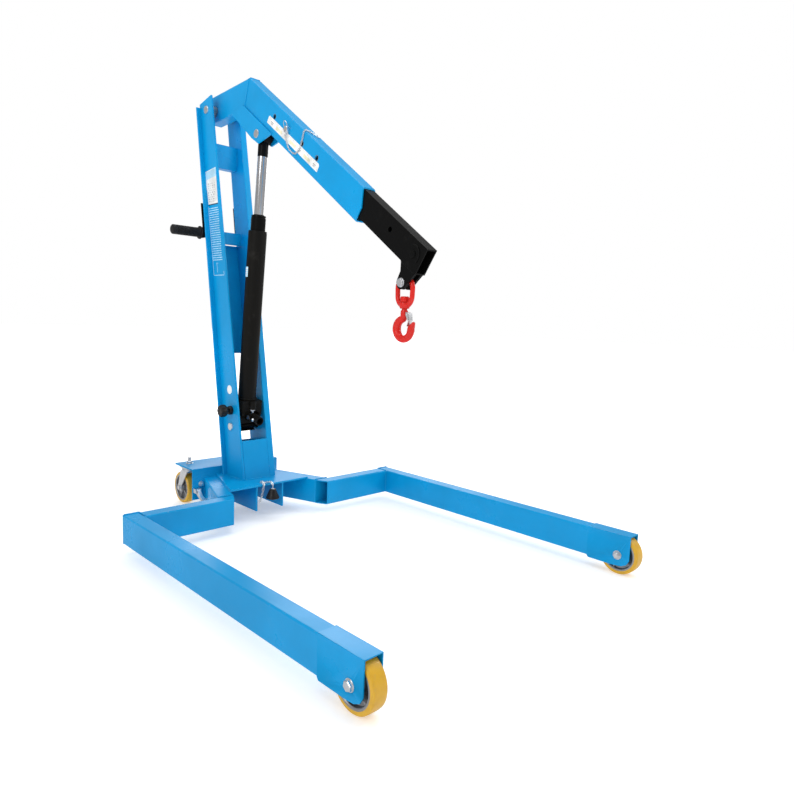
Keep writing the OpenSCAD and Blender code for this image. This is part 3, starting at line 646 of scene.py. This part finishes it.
# parking knob: a turned cone with finger ribs, and its eye
bm = bmesh.new()
axis = placed(Z, at(KNOB_X, KNOB_Y, 84))
cone = [(0, 0), (22.5, 0), (24.6, 1.2), (25, 3), (24.2, 5), (13.2, 31), (11.6, 35), (10, 36), (0, 36)]
spin(bm, cone, axis, 48)
ribs = 12
for i in range(ribs):
    a = 2 * math.pi * i / ribs
    rib = Vector((math.cos(a), math.sin(a), 0))
    foot, tip = at(KNOB_X, KNOB_Y, 88) + rib * 23.3 * MM, at(KNOB_X, KNOB_Y, 114) + rib * 12.6 * MM
    tube(bm, [foot, tip], [1.5, 1.1], 8)
finish_piece("park_knob_body", bm, "park_knob", "black_plastic", node="park_knob")
bm = bmesh.new()
stalk = placed(Z, at(KNOB_X, KNOB_Y, 0))
tube(bm, arc(at(KNOB_X, KNOB_Y, 133), Y, Z, 3.7, 0, 345, 20), 1.25, 8, closed=True)
spin(bm, [(0, 118), (2, 118), (2, 129.8), (0, 129.8)], stalk, 16)
spin(bm, [(2, 119.5), (5.5, 119.5), (5.5, 121), (2, 121)], stalk, 24)
finish_piece("park_knob_eye", bm, "park_knob", "zinc_plate")

# its chain, hooked over the foot plate's front edge, with the slack strand hanging beside the knob
bm = bmesh.new()
taut = [at(-12, 4.5, 136), at(-12, 12, 142), at(-13, 24, 143), at(-15, 35, 138.5), at(-18, 48, 136),
        at(-22, 58, 136)]
slack = [at(-22, 56, 137), at(-27, 44, 137.5), at(-31, 35, 138), at(-34, 29.5, 131), at(-38, 28, 117),
         at(-43, 25, 103), at(-49, 21, 91), at(-57, 18, 82), at(-62, 17, 70)]
for strand in (taut, slack):
    chain(bm, smooth_path(strand), wire=1.7, length=15, width=10)
screw = placed(Z, at(-23, 61, PLATE_TOP))
spin(bm, [(0, 0), (8, 0), (8, 1.5), (0, 1.5)], screw, 32)
hexagon(bm, 6.5, 5.5, turned(screw, 1.2, 0), 1)
finish_piece("park_knob_chain", bm, "chassis", "zinc_plate")

# release knob: lobed hand wheel on its stem
bm = bmesh.new()
axis = placed(-X, at(0, RELEASE_Y, RELEASE_Z), side=Z)
spin(bm, [(0, 55), (7.95, 55), (7.95, 86), (0, 86)], axis, 32)
spin(bm, [(8, 62.5), (16.2, 62.5), (17, 63.4), (17, 72), (15, 76), (8, 76)], axis, 48)
rings = []
profile = [(0, 86), (15, 86), (21, 87.4), (23.4, 90.4), (24, 95), (24, 102), (23, 107.4), (20, 110.8),
           (14, 112), (8, 111.6), (0, 111.2)]
count = 64
for r, h in profile:
    ring = []
    for i in range(count):
        a = 2 * math.pi * i / count
        lobe = 1 - 0.10 * (0.5 - 0.5 * math.cos(8 * a)) ** 2 * (1 if r > 18 else 0)
        point = Vector((r * lobe * math.cos(a), r * lobe * math.sin(a), h))
        ring.append(bm.verts.new(axis @ (point * MM)))
    rings.append(ring)
for a, b in zip(rings, rings[1:]):
    for i in range(count):
        bm.faces.new((a[i], a[(i + 1) % count], b[(i + 1) % count], b[i]))
bmesh.ops.remove_doubles(bm, verts=rings[0] + rings[-1], dist=1e-5)
finish_piece("release_knob_body", bm, "release_valve", "black_plastic", node="release_knob")

# ---------------------------------------------------------------- boom and extension
rear_dir = Vector((0, math.cos(REAR_SLOPE), -math.sin(REAR_SLOPE)))
skin("boom_rear", corners=(rear_dir,), corner_radius=6)
skin("boom_front", corners=(boom_dir,), corner_radius=6)
skin("ram_bracket", edge=1.0)
skin("extension_tube", corners=(boom_dir,), corner_radius=5)
skin("hanger_fork", edge=1.2)

spun("ram_top_pin_body", "boom", "zinc_plate",
     [(0, -35), (12, -35), (14.2, -34.2), (15, -33), (15, -31), (12, -31), (12, 31), (16, 31), (16, 33.6),
      (12, 33.6), (12, 36), (11, 37), (0, 37)], placed(X, ram_top), 56, node="ram_top_pin")

# locking pin with its pull ring, at the second index hole
hole = on_boom(0, INDEX_HOLES[1], INDEX_N)
spun("lock_pin_body", "lock_pin", "zinc_plate",
     [(0, -37), (6.5, -37), (8, -34.5), (8, 25.5), (11, 25.5), (11, 34.5), (9.5, 36.6), (5, 37), (0, 37)],
     placed(-X, hole, side=boom_dir), 40, node="lock_pin")
bm = bmesh.new()
tilt = (-boom_down * 0.92 - X * 0.32 - boom_dir * 0.2).normalized()
tube(bm, arc(hole - X * 34.5 * MM + tilt * 13 * MM, boom_dir, tilt, 13, 0, 348, 28), 1.3, 10, closed=True)
finish_piece("lock_pin_ring", bm, "lock_pin", "zinc_plate")

# empty index holes: a bare edge inside each
bm = bmesh.new()
for s in INDEX_HOLES:
    if s == INDEX_HOLES[1]:
        continue
    for sx in (-1, 1):
        rim = placed(X * sx, on_boom(0, s, INDEX_N))
        spin(bm, [(8.05, 25.15), (9.6, 25.15), (9.6, 24.0), (8.05, 24.0)], rim, 40)
finish_piece("index_hole_lips", bm, "boom", "bare_steel")

# pin keeper chain: one strand up over the boom, one hanging slack from there to the pin
bm = bmesh.new()
x = -27.2
over = [on_boom(x, 432, 44), on_boom(x, 428, 24), on_boom(x, 422, 4), on_boom(-22, 421, -3),
        on_boom(-8, 428, -2.8), on_boom(4, 442, -2.8), on_boom(12, 462, -2.8)]
bight = [on_boom(x - 6, 338, 44), on_boom(x - 5, 352, 66), on_boom(x - 3, 378, 83), on_boom(x, 404, 87),
         on_boom(x, 424, 78), on_boom(x, 433, 58), on_boom(x, 433, 46)]
for strand in (over, bight):
    chain(bm, smooth_path(strand), wire=1.1, length=10, width=6.6, side=boom_dir)
finish_piece("lock_pin_chain", bm, "boom", "zinc_plate")

# nose of the extension: stop pin, and the raised bead curving round it
bm = bmesh.new()
for sx in (-1, 1):
    nose = placed(X * sx, on_boom(0, *NOSE))
    spin(bm, [(7, 19.8), (11.5, 19.8), (12, 20.6), (11.2, 22.2), (7, 22.6), (0, 22.6)], nose, 40)
nose = on_boom(-20.4, *NOSE)
tube(bm, arc(nose, boom_dir, -boom_down, 27, -25, 118, 26), [0.8] + [2.4] * 24 + [0.8], 10)
finish_piece("extension_stop_pin", bm, "extension", "black_paint")

# hanger bolt
bm = bmesh.new()
axis = placed(-X, bolt)
spin(bm, [(8, 18), (13.6, 18), (13.6, 19.6), (0, 19.6)], axis, 40)
hexagon(bm, 12.5, 7.6, turned(axis, 18.4, 0.2), 1.6)
spin(bm, [(0, -28), (7, -28), (8, -27), (8, 18), (0, 18)], axis, 40)
axis = placed(X, bolt)
spin(bm, [(8, 18), (13.6, 18), (13.6, 19.6), (0, 19.6)], axis, 40)
hexagon(bm, 12.5, 7.4, turned(axis, 18.6, 0), 1.6)
finish_piece("hanger_bolt_body", bm, "extension", "zinc_plate", node="hanger_bolt")


# ---------------------------------------------------------------- swivel hook
def below_bolt(z):
    """A point under the hanger bolt, z in millimetres from the floor."""
    return Vector((0, bolt.y, z * MM))


bow_bar = 7.2
bow_half = 30
bow_steps = 22
bow_foot = below_bolt(BOW_FOOT)
bm = bmesh.new()
top_c = Vector((0, bolt.y, bolt.z + (8.3 + bow_bar - bow_half) * MM))
low_c = below_bolt(BOW_FOOT + 37.2)
loop = arc(top_c, Y, Z, bow_half, 0, 180, bow_steps) + arc(low_c, Y, Z, 29.2, 180, 360, bow_steps)
radii = [bow_bar] * bow_steps
radii += [bow_bar + 1.6 * math.sin(math.pi * i / (bow_steps - 1)) ** 2 for i in range(bow_steps)]
tube(bm, loop, radii, 20, closed=True)
spin(bm, [(8.2, -0.2), (12, -0.2), (13.6, 1.2), (15.5, 7), (16.2, 12), (15.6, 16.4), (14.2, 18), (8.2, 18)],
     placed(Z, bow_foot), 48)
finish_piece("bow_forging", bm, "bow", "red_paint", node="hook_bow", angle=50)

# round swivel nut inside the bow
spun("swivel_nut_body", "hook", "red_paint",
     [(0, 0), (11.6, 0), (12.8, 1.2), (12.8, 13), (12.2, 15), (10.6, 16.6), (8.4, 17), (8, 16.4),
      (7, 16.2), (0, 16)], placed(Z, below_bolt(SWIVEL_NUT)), 48, node="swivel_nut")

# the hook: shank, then the bowl's swelling bar, then the point leaning outwards
bm = bmesh.new()
path, radii = [], []
for z, r in ((823.5, 7.9), (786.5, 8.0), (783.5, 10.6), (776, 11.2), (768, 10.9)):
    path.append(below_bolt(z))
    radii.append(r)
bowl_steps = 65
path += arc(below_bolt(BOWL), Y, Z, 29, 84, -180, bowl_steps + 1)[1:]
for i in range(bowl_steps):
    t = (i + 1) / bowl_steps
    radii.append(10.9 + 1.5 * math.sin(min(1.0, t * 1.4) * math.pi))
tip_lean = math.radians(30)
lean = (Z * math.cos(tip_lean) - Y * math.sin(tip_lean)) * MM
start = path[-1]
for d, r, bend in ((4, 10.3, 1.1), (8, 9.2, 0.7), (12, 7.9, 0.3), (16, 6.4, 0), (19, 5.3, 0),
                   (21.6, 4.4, 0), (23.2, 2.6, 0), (23.6, 0.8, 0)):
    path.append(start + lean * d + Y * bend * MM)
    radii.append(r)
tube(bm, path, radii, 24)
lug = ((-8, 781.5), (-19, 780.5), (-20.5, 774.5), (-18, 768.5), (-8, 766.5))
slab(bm, [below_bolt(z) + (Y * y - X * 5) * MM for y, z in lug], X, 10, ease=1.2)
finish_piece("hook_forging", bm, "hook", "red_paint", node="hook", angle=50)

# latch: pressed sheet with folded cheeks, its rivet and spring
pivot = joint_at("latch_open")
bm = bmesh.new()


def by_latch(x, y, z):
    return pivot + Vector((x, y, z)) * MM


cheek = ((4.6, 6), (-5.5, 6), (-8.2, -4), (-9.9, -17), (-4.6, -18), (0.8, -9), (4.6, -2))
for x in (-8, 6.2):
    slab(bm, [by_latch(x, *p) for p in cheek], X, 1.8, ease=0.5)
front = [(-6.4, 5), (-9.9, -14), (-8.6, -19), (-5.6, -27), (-2.5, -34.4)]
lip = [(1.4 + y, z + 0.6) for y, z in front]
slab(bm, [by_latch(-8, *p) for p in front] + [by_latch(-8, *p) for p in reversed(lip)], X, 16, ease=0.5)
for sx in (-1, 1):
    spin(bm, [(0, 7), (2, 7), (3.6, 8), (3.3, 9), (1.8, 9.6), (0, 9.6)], placed(X * sx, pivot), 24)
spin(bm, [(1.95, -8), (1.95, 8)], placed(X, pivot), 20)
finish_piece("latch_sheet", bm, "latch", "zinc_plate", node="hook_latch")
bm = bmesh.new()
for x in (-5.9, 5.2):
    coil = [by_latch(x + 0.055 * i, 3 * math.cos(i * 0.5), 3 * math.sin(i * 0.5)) for i in range(14)]
    tube(bm, coil, 0.55, 6)
finish_piece("latch_spring", bm, "latch", "bare_steel")

# ---------------------------------------------------------------- ram and pump
foot_low, foot_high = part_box("ram_base_pin")
ram_foot = (foot_low + foot_high) / 2
ram_foot.x = 0


def on_ram(x, y, z):
    return ram_foot + (X * x - ram_fore * y + ram_up * z) * MM


along_ram = placed(ram_up, ram_foot, side=X)

spun("ram_barrel", "ram", "ram_black",
     [(28, 106), (37.5, 106), (38, 107), (38, 112), (36.5, 113.6), (34, 114.2), (34, 735), (33.4, 738),
      (33.4, 742), (32.4, 743), (28, 743)], along_ram, 96, node="ram_cylinder")

bm = bmesh.new()
spin(bm, [(17.6, 730), (27.8, 730), (27.8, 743), (26, 743), (26.6, 744.5), (27, 746), (27, 788),
          (26.2, 789.2), (25.4, 789.6), (25.4, 792), (26.6, 792.6), (26.6, 796), (25.2, 798.4), (21, 799),
          (20.4, 797), (17.6, 796.4)], along_ram, 96)
for i in range(4):
    a = math.radians(20 + 90 * i)
    spot = on_ram(27 * math.cos(a), 27 * math.sin(a), 766)
    out = (spot - on_ram(0, 0, 766)).normalized()
    spin(bm, [(0, -2), (3.2, -2), (3.2, 0.4), (0, 0.4)], placed(out, spot), 16)
finish_piece("gland_nut", bm, "ram", "black_paint", node="gland_collar")

spun("rod_wiper", "ram", "grip_rubber",
     [(17.7, 796), (19.8, 796), (20.2, 797.4), (19.8, 799.6), (18.4, 801.4), (17.6, 801.6)], along_ram, 64)

skin("base_lug", material="ram_black", edge=1.4)
skin("pump_block", material="ram_black", edge=1.6)
skin("lever_socket", material="ram_black", edge=1.0)
skin("ram_piston", edge=0)
spun("pump_plunger_body", "plunger", "rod_chrome", [(0, 60), (7, 60), (8, 61), (8, 94), (0, 94)],
     placed(ram_up, on_ram(0, PLUNGER, 0), side=X), 32, node="pump_plunger")
spun("ram_rod_body", "ram_rod", "rod_chrome", [(0, 510), (17.5, 510), (17.5, 1005), (0, 1005)],
     along_ram, 96, node="ram_rod")
skin("rod_end", edge=1.6)

# pump details: plugs, the hinge pin's ends and the plunger's gland
bm = bmesh.new()
for x, z in ((-24, 66), (-24, 90), (24, 78)):
    plug = placed(-X if x < 0 else X, on_ram(math.copysign(42, x), -8 if z < 80 else 12, z))
    spin(bm, [(0, 0), (9, 0), (9, 1.6), (0, 1.6)], plug, 32)
    hexagon(bm, 7.5, 5.5, turned(plug, 1.4, 0), 1.2)
pin = placed(X, on_ram(*SOCKET))
for s in (-1, 1):
    spin(bm, [(0, s * 24), (8.5, s * 24), (8.5, s * 25.6), (0, s * 25.8)], pin, 28)
gland = placed(-ram_up, on_ram(0, PLUNGER, 74), side=X)
spin(bm, [(8.2, 0), (12, 0), (12, 2), (10.6, 3), (8.2, 3)], gland, 32)
finish_piece("pump_fittings", bm, "ram", "zinc_plate")

# lever socket's clamp screw
bm = bmesh.new()
reach = (ram_fore * math.cos(SOCKET_TILT) - ram_up * math.sin(SOCKET_TILT)).normalized()
seat = on_ram(*SOCKET) + reach * 26 * MM
wing = placed(-X, seat - X * 16 * MM)
spin(bm, [(0, -1), (4, -1), (4, 6), (0, 6)], wing, 20)
hexagon(bm, 6.5, 4.6, turned(wing, 3, 0), 1)
finish_piece("lever_clamp_screw", bm, "pump_lever", "zinc_plate")


# ---------------------------------------------------------------- wheels
def wheel(prefix, side, centre, width, body, bore):
    """Cast centre with ribs and bearing caps, and a polyurethane tread bonded round it."""
    half = width / 2
    axis = placed(X, centre)
    bm = bmesh.new()
    spin(bm, [(51.5, -half), (57.5, -half), (60, -half + 0.8), (61.8, -half + 3), (WHEEL_R, -half * 0.4),
              (WHEEL_R, half * 0.4), (61.8, half - 3), (60, half - 0.8), (57.5, half), (51.5, half),
              (51.5, -half)], axis, 128)
    finish_piece(prefix + "_tread_" + side, bm, body, "amber_tread", node=prefix + "_tyre_" + side)
    bm = bmesh.new()
    spin(bm, [(51.5, -half), (47, -half), (45.4, -half + 1.6), (45, -7.5), (42, -6), (22, -5.4), (19.6, -7),
              (19, -half + 0.5), (18, -half - 1), (bore, -half - 1), (bore, half + 1), (18, half + 1),
              (19, half - 0.5), (19.6, 7), (22, 5.4), (42, 6), (45, 7.5), (45.4, half - 1.6), (47, half),
              (51.5, half), (51.5, -half)], axis, 96)
    for i in range(5):
        a = 2 * math.pi * i / 5
        out = Y * math.cos(a) + Z * math.sin(a)
        cross = -Y * math.sin(a) + Z * math.cos(a)
        for s in (-1, 1):
            corners = [centre + (out * r + cross * w) * MM + X * s * 5 * MM
                       for r, w in ((18, 3.4), (45.6, 2.4), (45.6, -2.4), (18, -3.4))]
            slab(bm, corners, X * s, half - 8, ease=0.8)
    finish_piece(prefix + "_centre_" + side, bm, body, "wheel_iron", node=prefix + "_hub_" + side)
    bm = bmesh.new()
    for s in (-1, 1):
        spin(bm, [(bore, half + 1), (15.5, half + 1), (15.2, half + 1.8), (11, half + 2.0),
                  (bore, half + 2.0)], placed(X * s, centre), 48)
    finish_piece(prefix + "_bearing_" + side, bm, body, "zinc_plate")


for side, sx in (("left", -1), ("right", 1)):
    wheel("front", side, at(sx * FRONT_X, FRONT_Y, WHEEL_R), 38, "front_wheel_" + side, 8.05)
    centre = at(sx * CASTOR_X, CASTOR_WHEEL_Y, WHEEL_R)
    wheel("castor", side, centre, 36, "castor_wheel_" + side, 6.05)
    skin("castor_fork_" + side, edge=1.2)
    # swivel race: a pressed ring on the fork and a cup under the disc
    spun("castor_race_" + side, "castor_" + side, "zinc_plate",
         [(20, 0), (27.5, 0), (28.6, 1.6), (28.6, 5.2), (27.4, 6.6), (20, 6.8)],
         placed(Z, at(sx * CASTOR_X, CASTOR_Y, 136)), 64)
    spun("castor_cup_" + side, "chassis", "zinc_plate",
         [(20, 0), (31, 0), (32, -1.6), (31.4, -6.4), (29.2, -9.4), (20, -9.6)],
         placed(Z, at(sx * CASTOR_X, CASTOR_Y, 154)), 64)
    # axle: bolt head, washers, lock nut
    bm = bmesh.new()
    axle = placed(X, centre)
    spin(bm, [(0, -25), (6, -25), (6, 31), (5.4, 33), (0, 33)], axle, 32)
    for s in (-1, 1):
        face = placed(X * s, centre)
        spin(bm, [(6, 25), (11, 25), (11, 26.4), (6, 26.4)], face, 40)
        hexagon(bm, 10, 5.4, turned(face, 26.4, 0.4 * s), 1.3)
        spin(bm, [(6, 19.2), (10, 19.2), (10, 20.9), (6, 20.9)], face, 40)
    finish_piece("castor_axle_set_" + side, bm, "castor_" + side, "zinc_plate", node="castor_axle_" + side)


# ---------------------------------------------------------------- weld beads, painted over
def beads(name, body, runs, size):
    bm = bmesh.new()
    for run in runs:
        weld(bm, run, size)
    return finish_piece(name, bm, body, "blue_paint", angle=60)


def both_sides(*pairs):
    """Runs between pairs of points given for the right, once on the left and once on the right."""
    return [[at(sx * x, y, z) for x, y, z in pair] for sx in (-1, 1) for pair in pairs]


beads("chassis_welds", "chassis", both_sides(
    # mast feet
    ((62.6, 126, 134), (62.6, 249, 134)),
    # arm to leg, arm to brace
    ((513.2, -1, 40), (513.2, 0.2, 120)),
    ((513, -50, 126.8), (513, -2, 126.8)),
    ((513, -52.4, 38), (513, -52.4, 122)),
    ((180, 0.4, 126.8), (238, 0.4, 126.8)),
    ((240.4, 0.6, 38), (240.4, 0.6, 122)),
    # brace end at the bridge's wall
    ((87, 279.6, 126.8), (140, 279.6, 126.8)),
    ((142.6, 279.4, 40), (142.6, 279.4, 122)),
    # leg end cap
    ((514, -3, 127), (562, -3, 127))), 2.6)

# foot plate's side and rear edges
runs = both_sides(((169, 36, 127), (93, 279, 127)))
runs.append([at(-91, 280.5, 133), at(91, 280.5, 133)])
# cross plates between the webs
for z, y in ((1366, 383.6), (1052, 348.6)):
    runs += both_sides(((53.4, y, z - 22), (53.4, y, z + 22)))
runs.append([at(-60, 122.8, 134.4), at(60, 122.8, 134.4)])
# straps up the mast's rear edge
runs += both_sides(((WEB_X, 391.9, 1052), (WEB_X, 411.3, 1180)))
beads("mast_welds", "chassis", runs, 2.3)

runs = []
mitre_low = on_boom(0, 34.5, 100)
for sx in (-1, 1):
    runs.append([apex + X * sx * 25.3 * MM - Z * 3 * MM, mitre_low + X * sx * 25.3 * MM + Z * 3 * MM])
    # the bracket's cheek is laid in two passes
    runs += [[on_boom(sx * 26, 30, 96), on_boom(sx * 26, 252, 96)]] * 2
runs.append([apex - X * 20 * MM + Z * 0.1 * MM, apex + X * 20 * MM + Z * 0.1 * MM])
beads("boom_welds", "boom", runs, 2.2)

bm = bmesh.new()
for sx in (-1, 1):
    weld(bm, [on_boom(sx * 18.4, 1052, 85.2), on_boom(sx * 18.4, 1118, 85.2)], 2.2)
finish_piece("hanger_welds", bm, "extension", "black_paint", angle=60)


# ---------------------------------------------------------------- labels: blank, with generic print, and a painted shadow under the mast label
def decal(name, body, polygons, place, material, thickness=0.15, lift=0.02):
    """Thin flat shapes stuck on the near side; place turns each polygon's points into space."""
    bm = bmesh.new()
    for points in polygons:
        slab(bm, [place(*p) - X * lift * MM for p in points], -X, thickness)
    return finish_piece(name, bm, body, material)


def bar(a, b, c, d):
    """A rectangle from corner (a, b) to corner (c, d)."""
    return [(a, b), (c, b), (c, d), (a, d)]


def on_web(y, z):
    return at(-WEB_X, y, z)


def web_left(z):
    return 397 - 0.172 * (1178 - z)


def web_right(z):
    return 325 - 0.165 * (1178 - z)


def rows(low, high, count, left, right, fill, word=(3, 13)):
    """Rows of plain bars in place of print, following slanted margins."""
    out = []
    step = (high - low) / count
    for i in range(count):
        z = low + step * i
        y, end = left(z), right(z)
        while y > end + 3:
            stop = max(end, y - rng.uniform(*word))
            out.append(bar(y, z, stop, z + step * fill))
            y = stop - rng.uniform(1.4, 3.0)
    return out


over_vinyl = 0.18
decal("mast_label_white", "chassis", [[(426, 1303.5), (397, 1177.5), (325, 1178.5), (343, 1312.5)]],
      on_web, white_vinyl)
decal("mast_label_band", "chassis", [[(424.6, 1301), (417.5, 1272), (338.6, 1280), (342.4, 1311)]],
      on_web, pale_print, lift=over_vinyl)
label_rows = rows(1186, 1262, 9, lambda z: 391 + 0.2 * (z - 1178), lambda z: 340 + 0.12 * (z - 1178),
                  0.45, (2, 9))
decal("mast_label_print", "chassis", label_rows[::2], on_web, grey_print, lift=over_vinyl)
# painted shadow: a thin near-black strip under the white label's lower edge, not print
decal("mast_label_painted_shadow", "chassis", [[(398, 1177), (397, 1173.5), (324.5, 1174.5), (325, 1178)]],
      on_web, painted_shadow_sheet, thickness=0.1)
decal("mast_print", "chassis", rows(962, 1168, 24, web_left, web_right, 0.42), on_web, pale_print)
top, foot = 1170, 904
rear, fore = web_left(foot) + 4, web_right(foot) - 3
stub = web_right(906) - 3
stub_top = web_right(920) - 3
decal("mast_print_frame", "chassis", [
    [(web_left(top) + 4, top), (rear, foot), (rear - 2.4, foot), (web_left(top) + 1.6, top)],
    bar(rear, foot, fore, 906.4),
    [(stub, 906), (stub - 2.4, 906), (stub_top - 2.4, 920), (stub_top, 920)],
    [(332, 948), (326, 916), (323.8, 916), (329.8, 948)],
    [(336, 950), (322, 950), (322, 952), (336, 952)]], on_web, pale_print)
turn = [math.radians(a) for a in range(0, 360, 9)]
decal("mast_round_sticker", "chassis", [[(232 + 17 * math.cos(a), 469.5 + 17 * math.sin(a)) for a in turn]],
      on_web, white_vinyl)


def on_side(s, n):
    return on_boom(-BOOM_HALF, s, n)


decal("scale_strip", "boom", [[(204, 49), (200, 53), (200, 75), (559, 75), (559, 55), (553, 49)]], on_side,
      white_vinyl)
ticks = []
for i in range(34):
    s = 212 + i * 10
    ticks.append(bar(s, 50.4, s + 0.9, 50.4 + (7 if i % 5 == 2 else 3.6)))
decal("scale_ticks", "boom", ticks, on_side, grey_print, lift=over_vinyl)
marks = []
for h in INDEX_HOLES:
    marks += [bar(h - 9, 60, h + 9, 63), bar(h - 6, 65.5, h + 6, 68)]
decal("scale_marks", "boom", marks, on_side, grey_print, lift=over_vinyl)
cream_vinyl = moulded("cream_vinyl", (0.74, 0.70, 0.50), 0.4, texture=0.05)
decal("scale_bands", "boom", [bar(s, 60, s + 44, 70) for s in (262, 362, 462)], on_side, cream_vinyl,
      lift=over_vinyl)


# striped sticker wrapped on the ram's barrel
def on_barrel(a, z, r):
    a = math.radians(a)
    return on_ram(-r * math.cos(a), -r * math.sin(a), z)


def wrapped(name, patches, material, r):
    bm = bmesh.new()
    for a0, a1, z0, z1 in patches:
        steps = max(2, int((a1 - a0) / 6))
        angles = [a0 + (a1 - a0) * i / steps for i in range(steps + 1)]
        grid = [[bm.verts.new(on_barrel(a, z, r)) for z in (z0, z1)] for a in angles]
        back = [[bm.verts.new(on_barrel(a, z, r - 0.1)) for z in (z0, z1)] for a in angles]
        for i in range(steps):
            bm.faces.new((grid[i][0], grid[i + 1][0], grid[i + 1][1], grid[i][1]))
            bm.faces.new((back[i][0], back[i][1], back[i + 1][1], back[i + 1][0]))
            for k in (0, 1):
                bm.faces.new((grid[i][k], grid[i + 1][k], back[i + 1][k], back[i][k]))
        for i in (0, steps):
            bm.faces.new((grid[i][0], grid[i][1], back[i][1], back[i][0]))
    return finish_piece(name, bm, "ram", material)


wrapped("ram_sticker", [(-44, 8, 573, 610)], pale_print, 34.14)
wrapped("ram_sticker_bars", [(-42, 6, 578 + 8 * i, 581 + 8 * i) for i in range(4)], white_vinyl, 34.22)

# ---------------------------------------------------------------- floor, light, camera
# the floor and the world count for less in reflections, and the world for less in diffuse light
GLOSSY_SHARE = 0.42
DIFFUSE_SHARE = 0.66
bpy.ops.mesh.primitive_plane_add(size=60, location=(0, 0, 0))
floor = bpy.context.object
floor_mat, tree, shader, coords = new_material("floor_white")
base = ramp(tree, noise(tree, coords, 0.6, 3.0), 0.3, 0.7, (0.78, 0.78, 0.785), (0.80, 0.80, 0.80))
glossy = tree.nodes.new("ShaderNodeLightPath").outputs["Is Glossy Ray"]
base = mix(tree, spread(tree, glossy, 0, 1, 0, 0.6), base, (0.2, 0.2, 0.2))
tree.links.new(base, shader.inputs["Base Color"])
distance = tree.nodes.new("ShaderNodeVectorMath")
distance.operation = "LENGTH"
tree.links.new(coords, distance.inputs[0])
shader.inputs["Emission Color"].default_value = (1, 1, 1, 1)
glow = product(tree, spread(tree, distance.outputs["Value"], 1.0, 3.5, 0.38, 1.0),
               spread(tree, glossy, 0, 1, 1.0, GLOSSY_SHARE))
tree.links.new(glow, shader.inputs["Emission Strength"])
shader.inputs["Roughness"].default_value = 0.55
shader.inputs["Specular IOR Level"].default_value = 0.25
floor.data.materials.append(floor_mat)

world = bpy.data.worlds.new("studio")
bpy.context.scene.world = world
world.use_nodes = True
tree = world.node_tree
background = tree.nodes["Background"]
background.inputs["Color"].default_value = (1.0, 1.0, 1.0, 1)
rays = tree.nodes.new("ShaderNodeLightPath")
strength = product(tree, spread(tree, rays.outputs["Is Diffuse Ray"], 0, 1, 1.0, DIFFUSE_SHARE),
                   spread(tree, rays.outputs["Is Glossy Ray"], 0, 1, 1.0, GLOSSY_SHARE))
tree.links.new(strength, background.inputs["Strength"])


def softbox(name, place, target, size, power, tall=None):
    light = bpy.data.lights.new(name, "AREA")
    light.shape = "RECTANGLE"
    light.size = size
    light.size_y = tall or size
    light.energy = power
    obj = bpy.data.objects.new(name, light)
    obj.location = place
    obj.rotation_euler = (Vector(target) - Vector(place)).to_track_quat("-Z", "Y").to_euler()
    bpy.context.scene.collection.objects.link(obj)
    obj.visible_camera = False
    return obj


softbox("overhead", (0.2, -0.2, 4.2), (0, 0, 0.6), 3.6, 70)
softbox("camera_left", (-3.6, -0.8, 2.4), (0, 0.3, 0.9), 1.6, 34)
softbox("right_front", (2.5, -1.7, 2.3), (0, 0.7, 1.4), 1.1, 24)
softbox("back_sheen", (3.0, 3.6, 2.4), (0, 0, 0.2), 3.2, 60, tall=1.8)

cam = bpy.data.cameras.new("camera")
cam.lens = 28.94
cam.sensor_width = 36
cam.clip_end = 100
camera = bpy.data.objects.new("camera", cam)
bpy.context.scene.collection.objects.link(camera)
yaw, pitch, roll = 0.7791, 0.1177, 0.0356
fwd = Vector((math.sin(yaw) * math.cos(pitch), math.cos(yaw) * math.cos(pitch), -math.sin(pitch)))
right = Vector((math.cos(yaw), -math.sin(yaw), 0))
upward = right.cross(fwd)
r = right * math.cos(roll) + upward * math.sin(roll)
u = upward * math.cos(roll) - right * math.sin(roll)
stand = Matrix.Translation((-1.3159, -1.6182, 0.7541))
camera.matrix_world = stand @ Matrix((r, u, -fwd)).transposed().to_4x4()
bpy.context.scene.camera = camera

bpy.context.scene.view_settings.view_transform = "Standard"
bpy.context.scene.view_settings.look = "None"
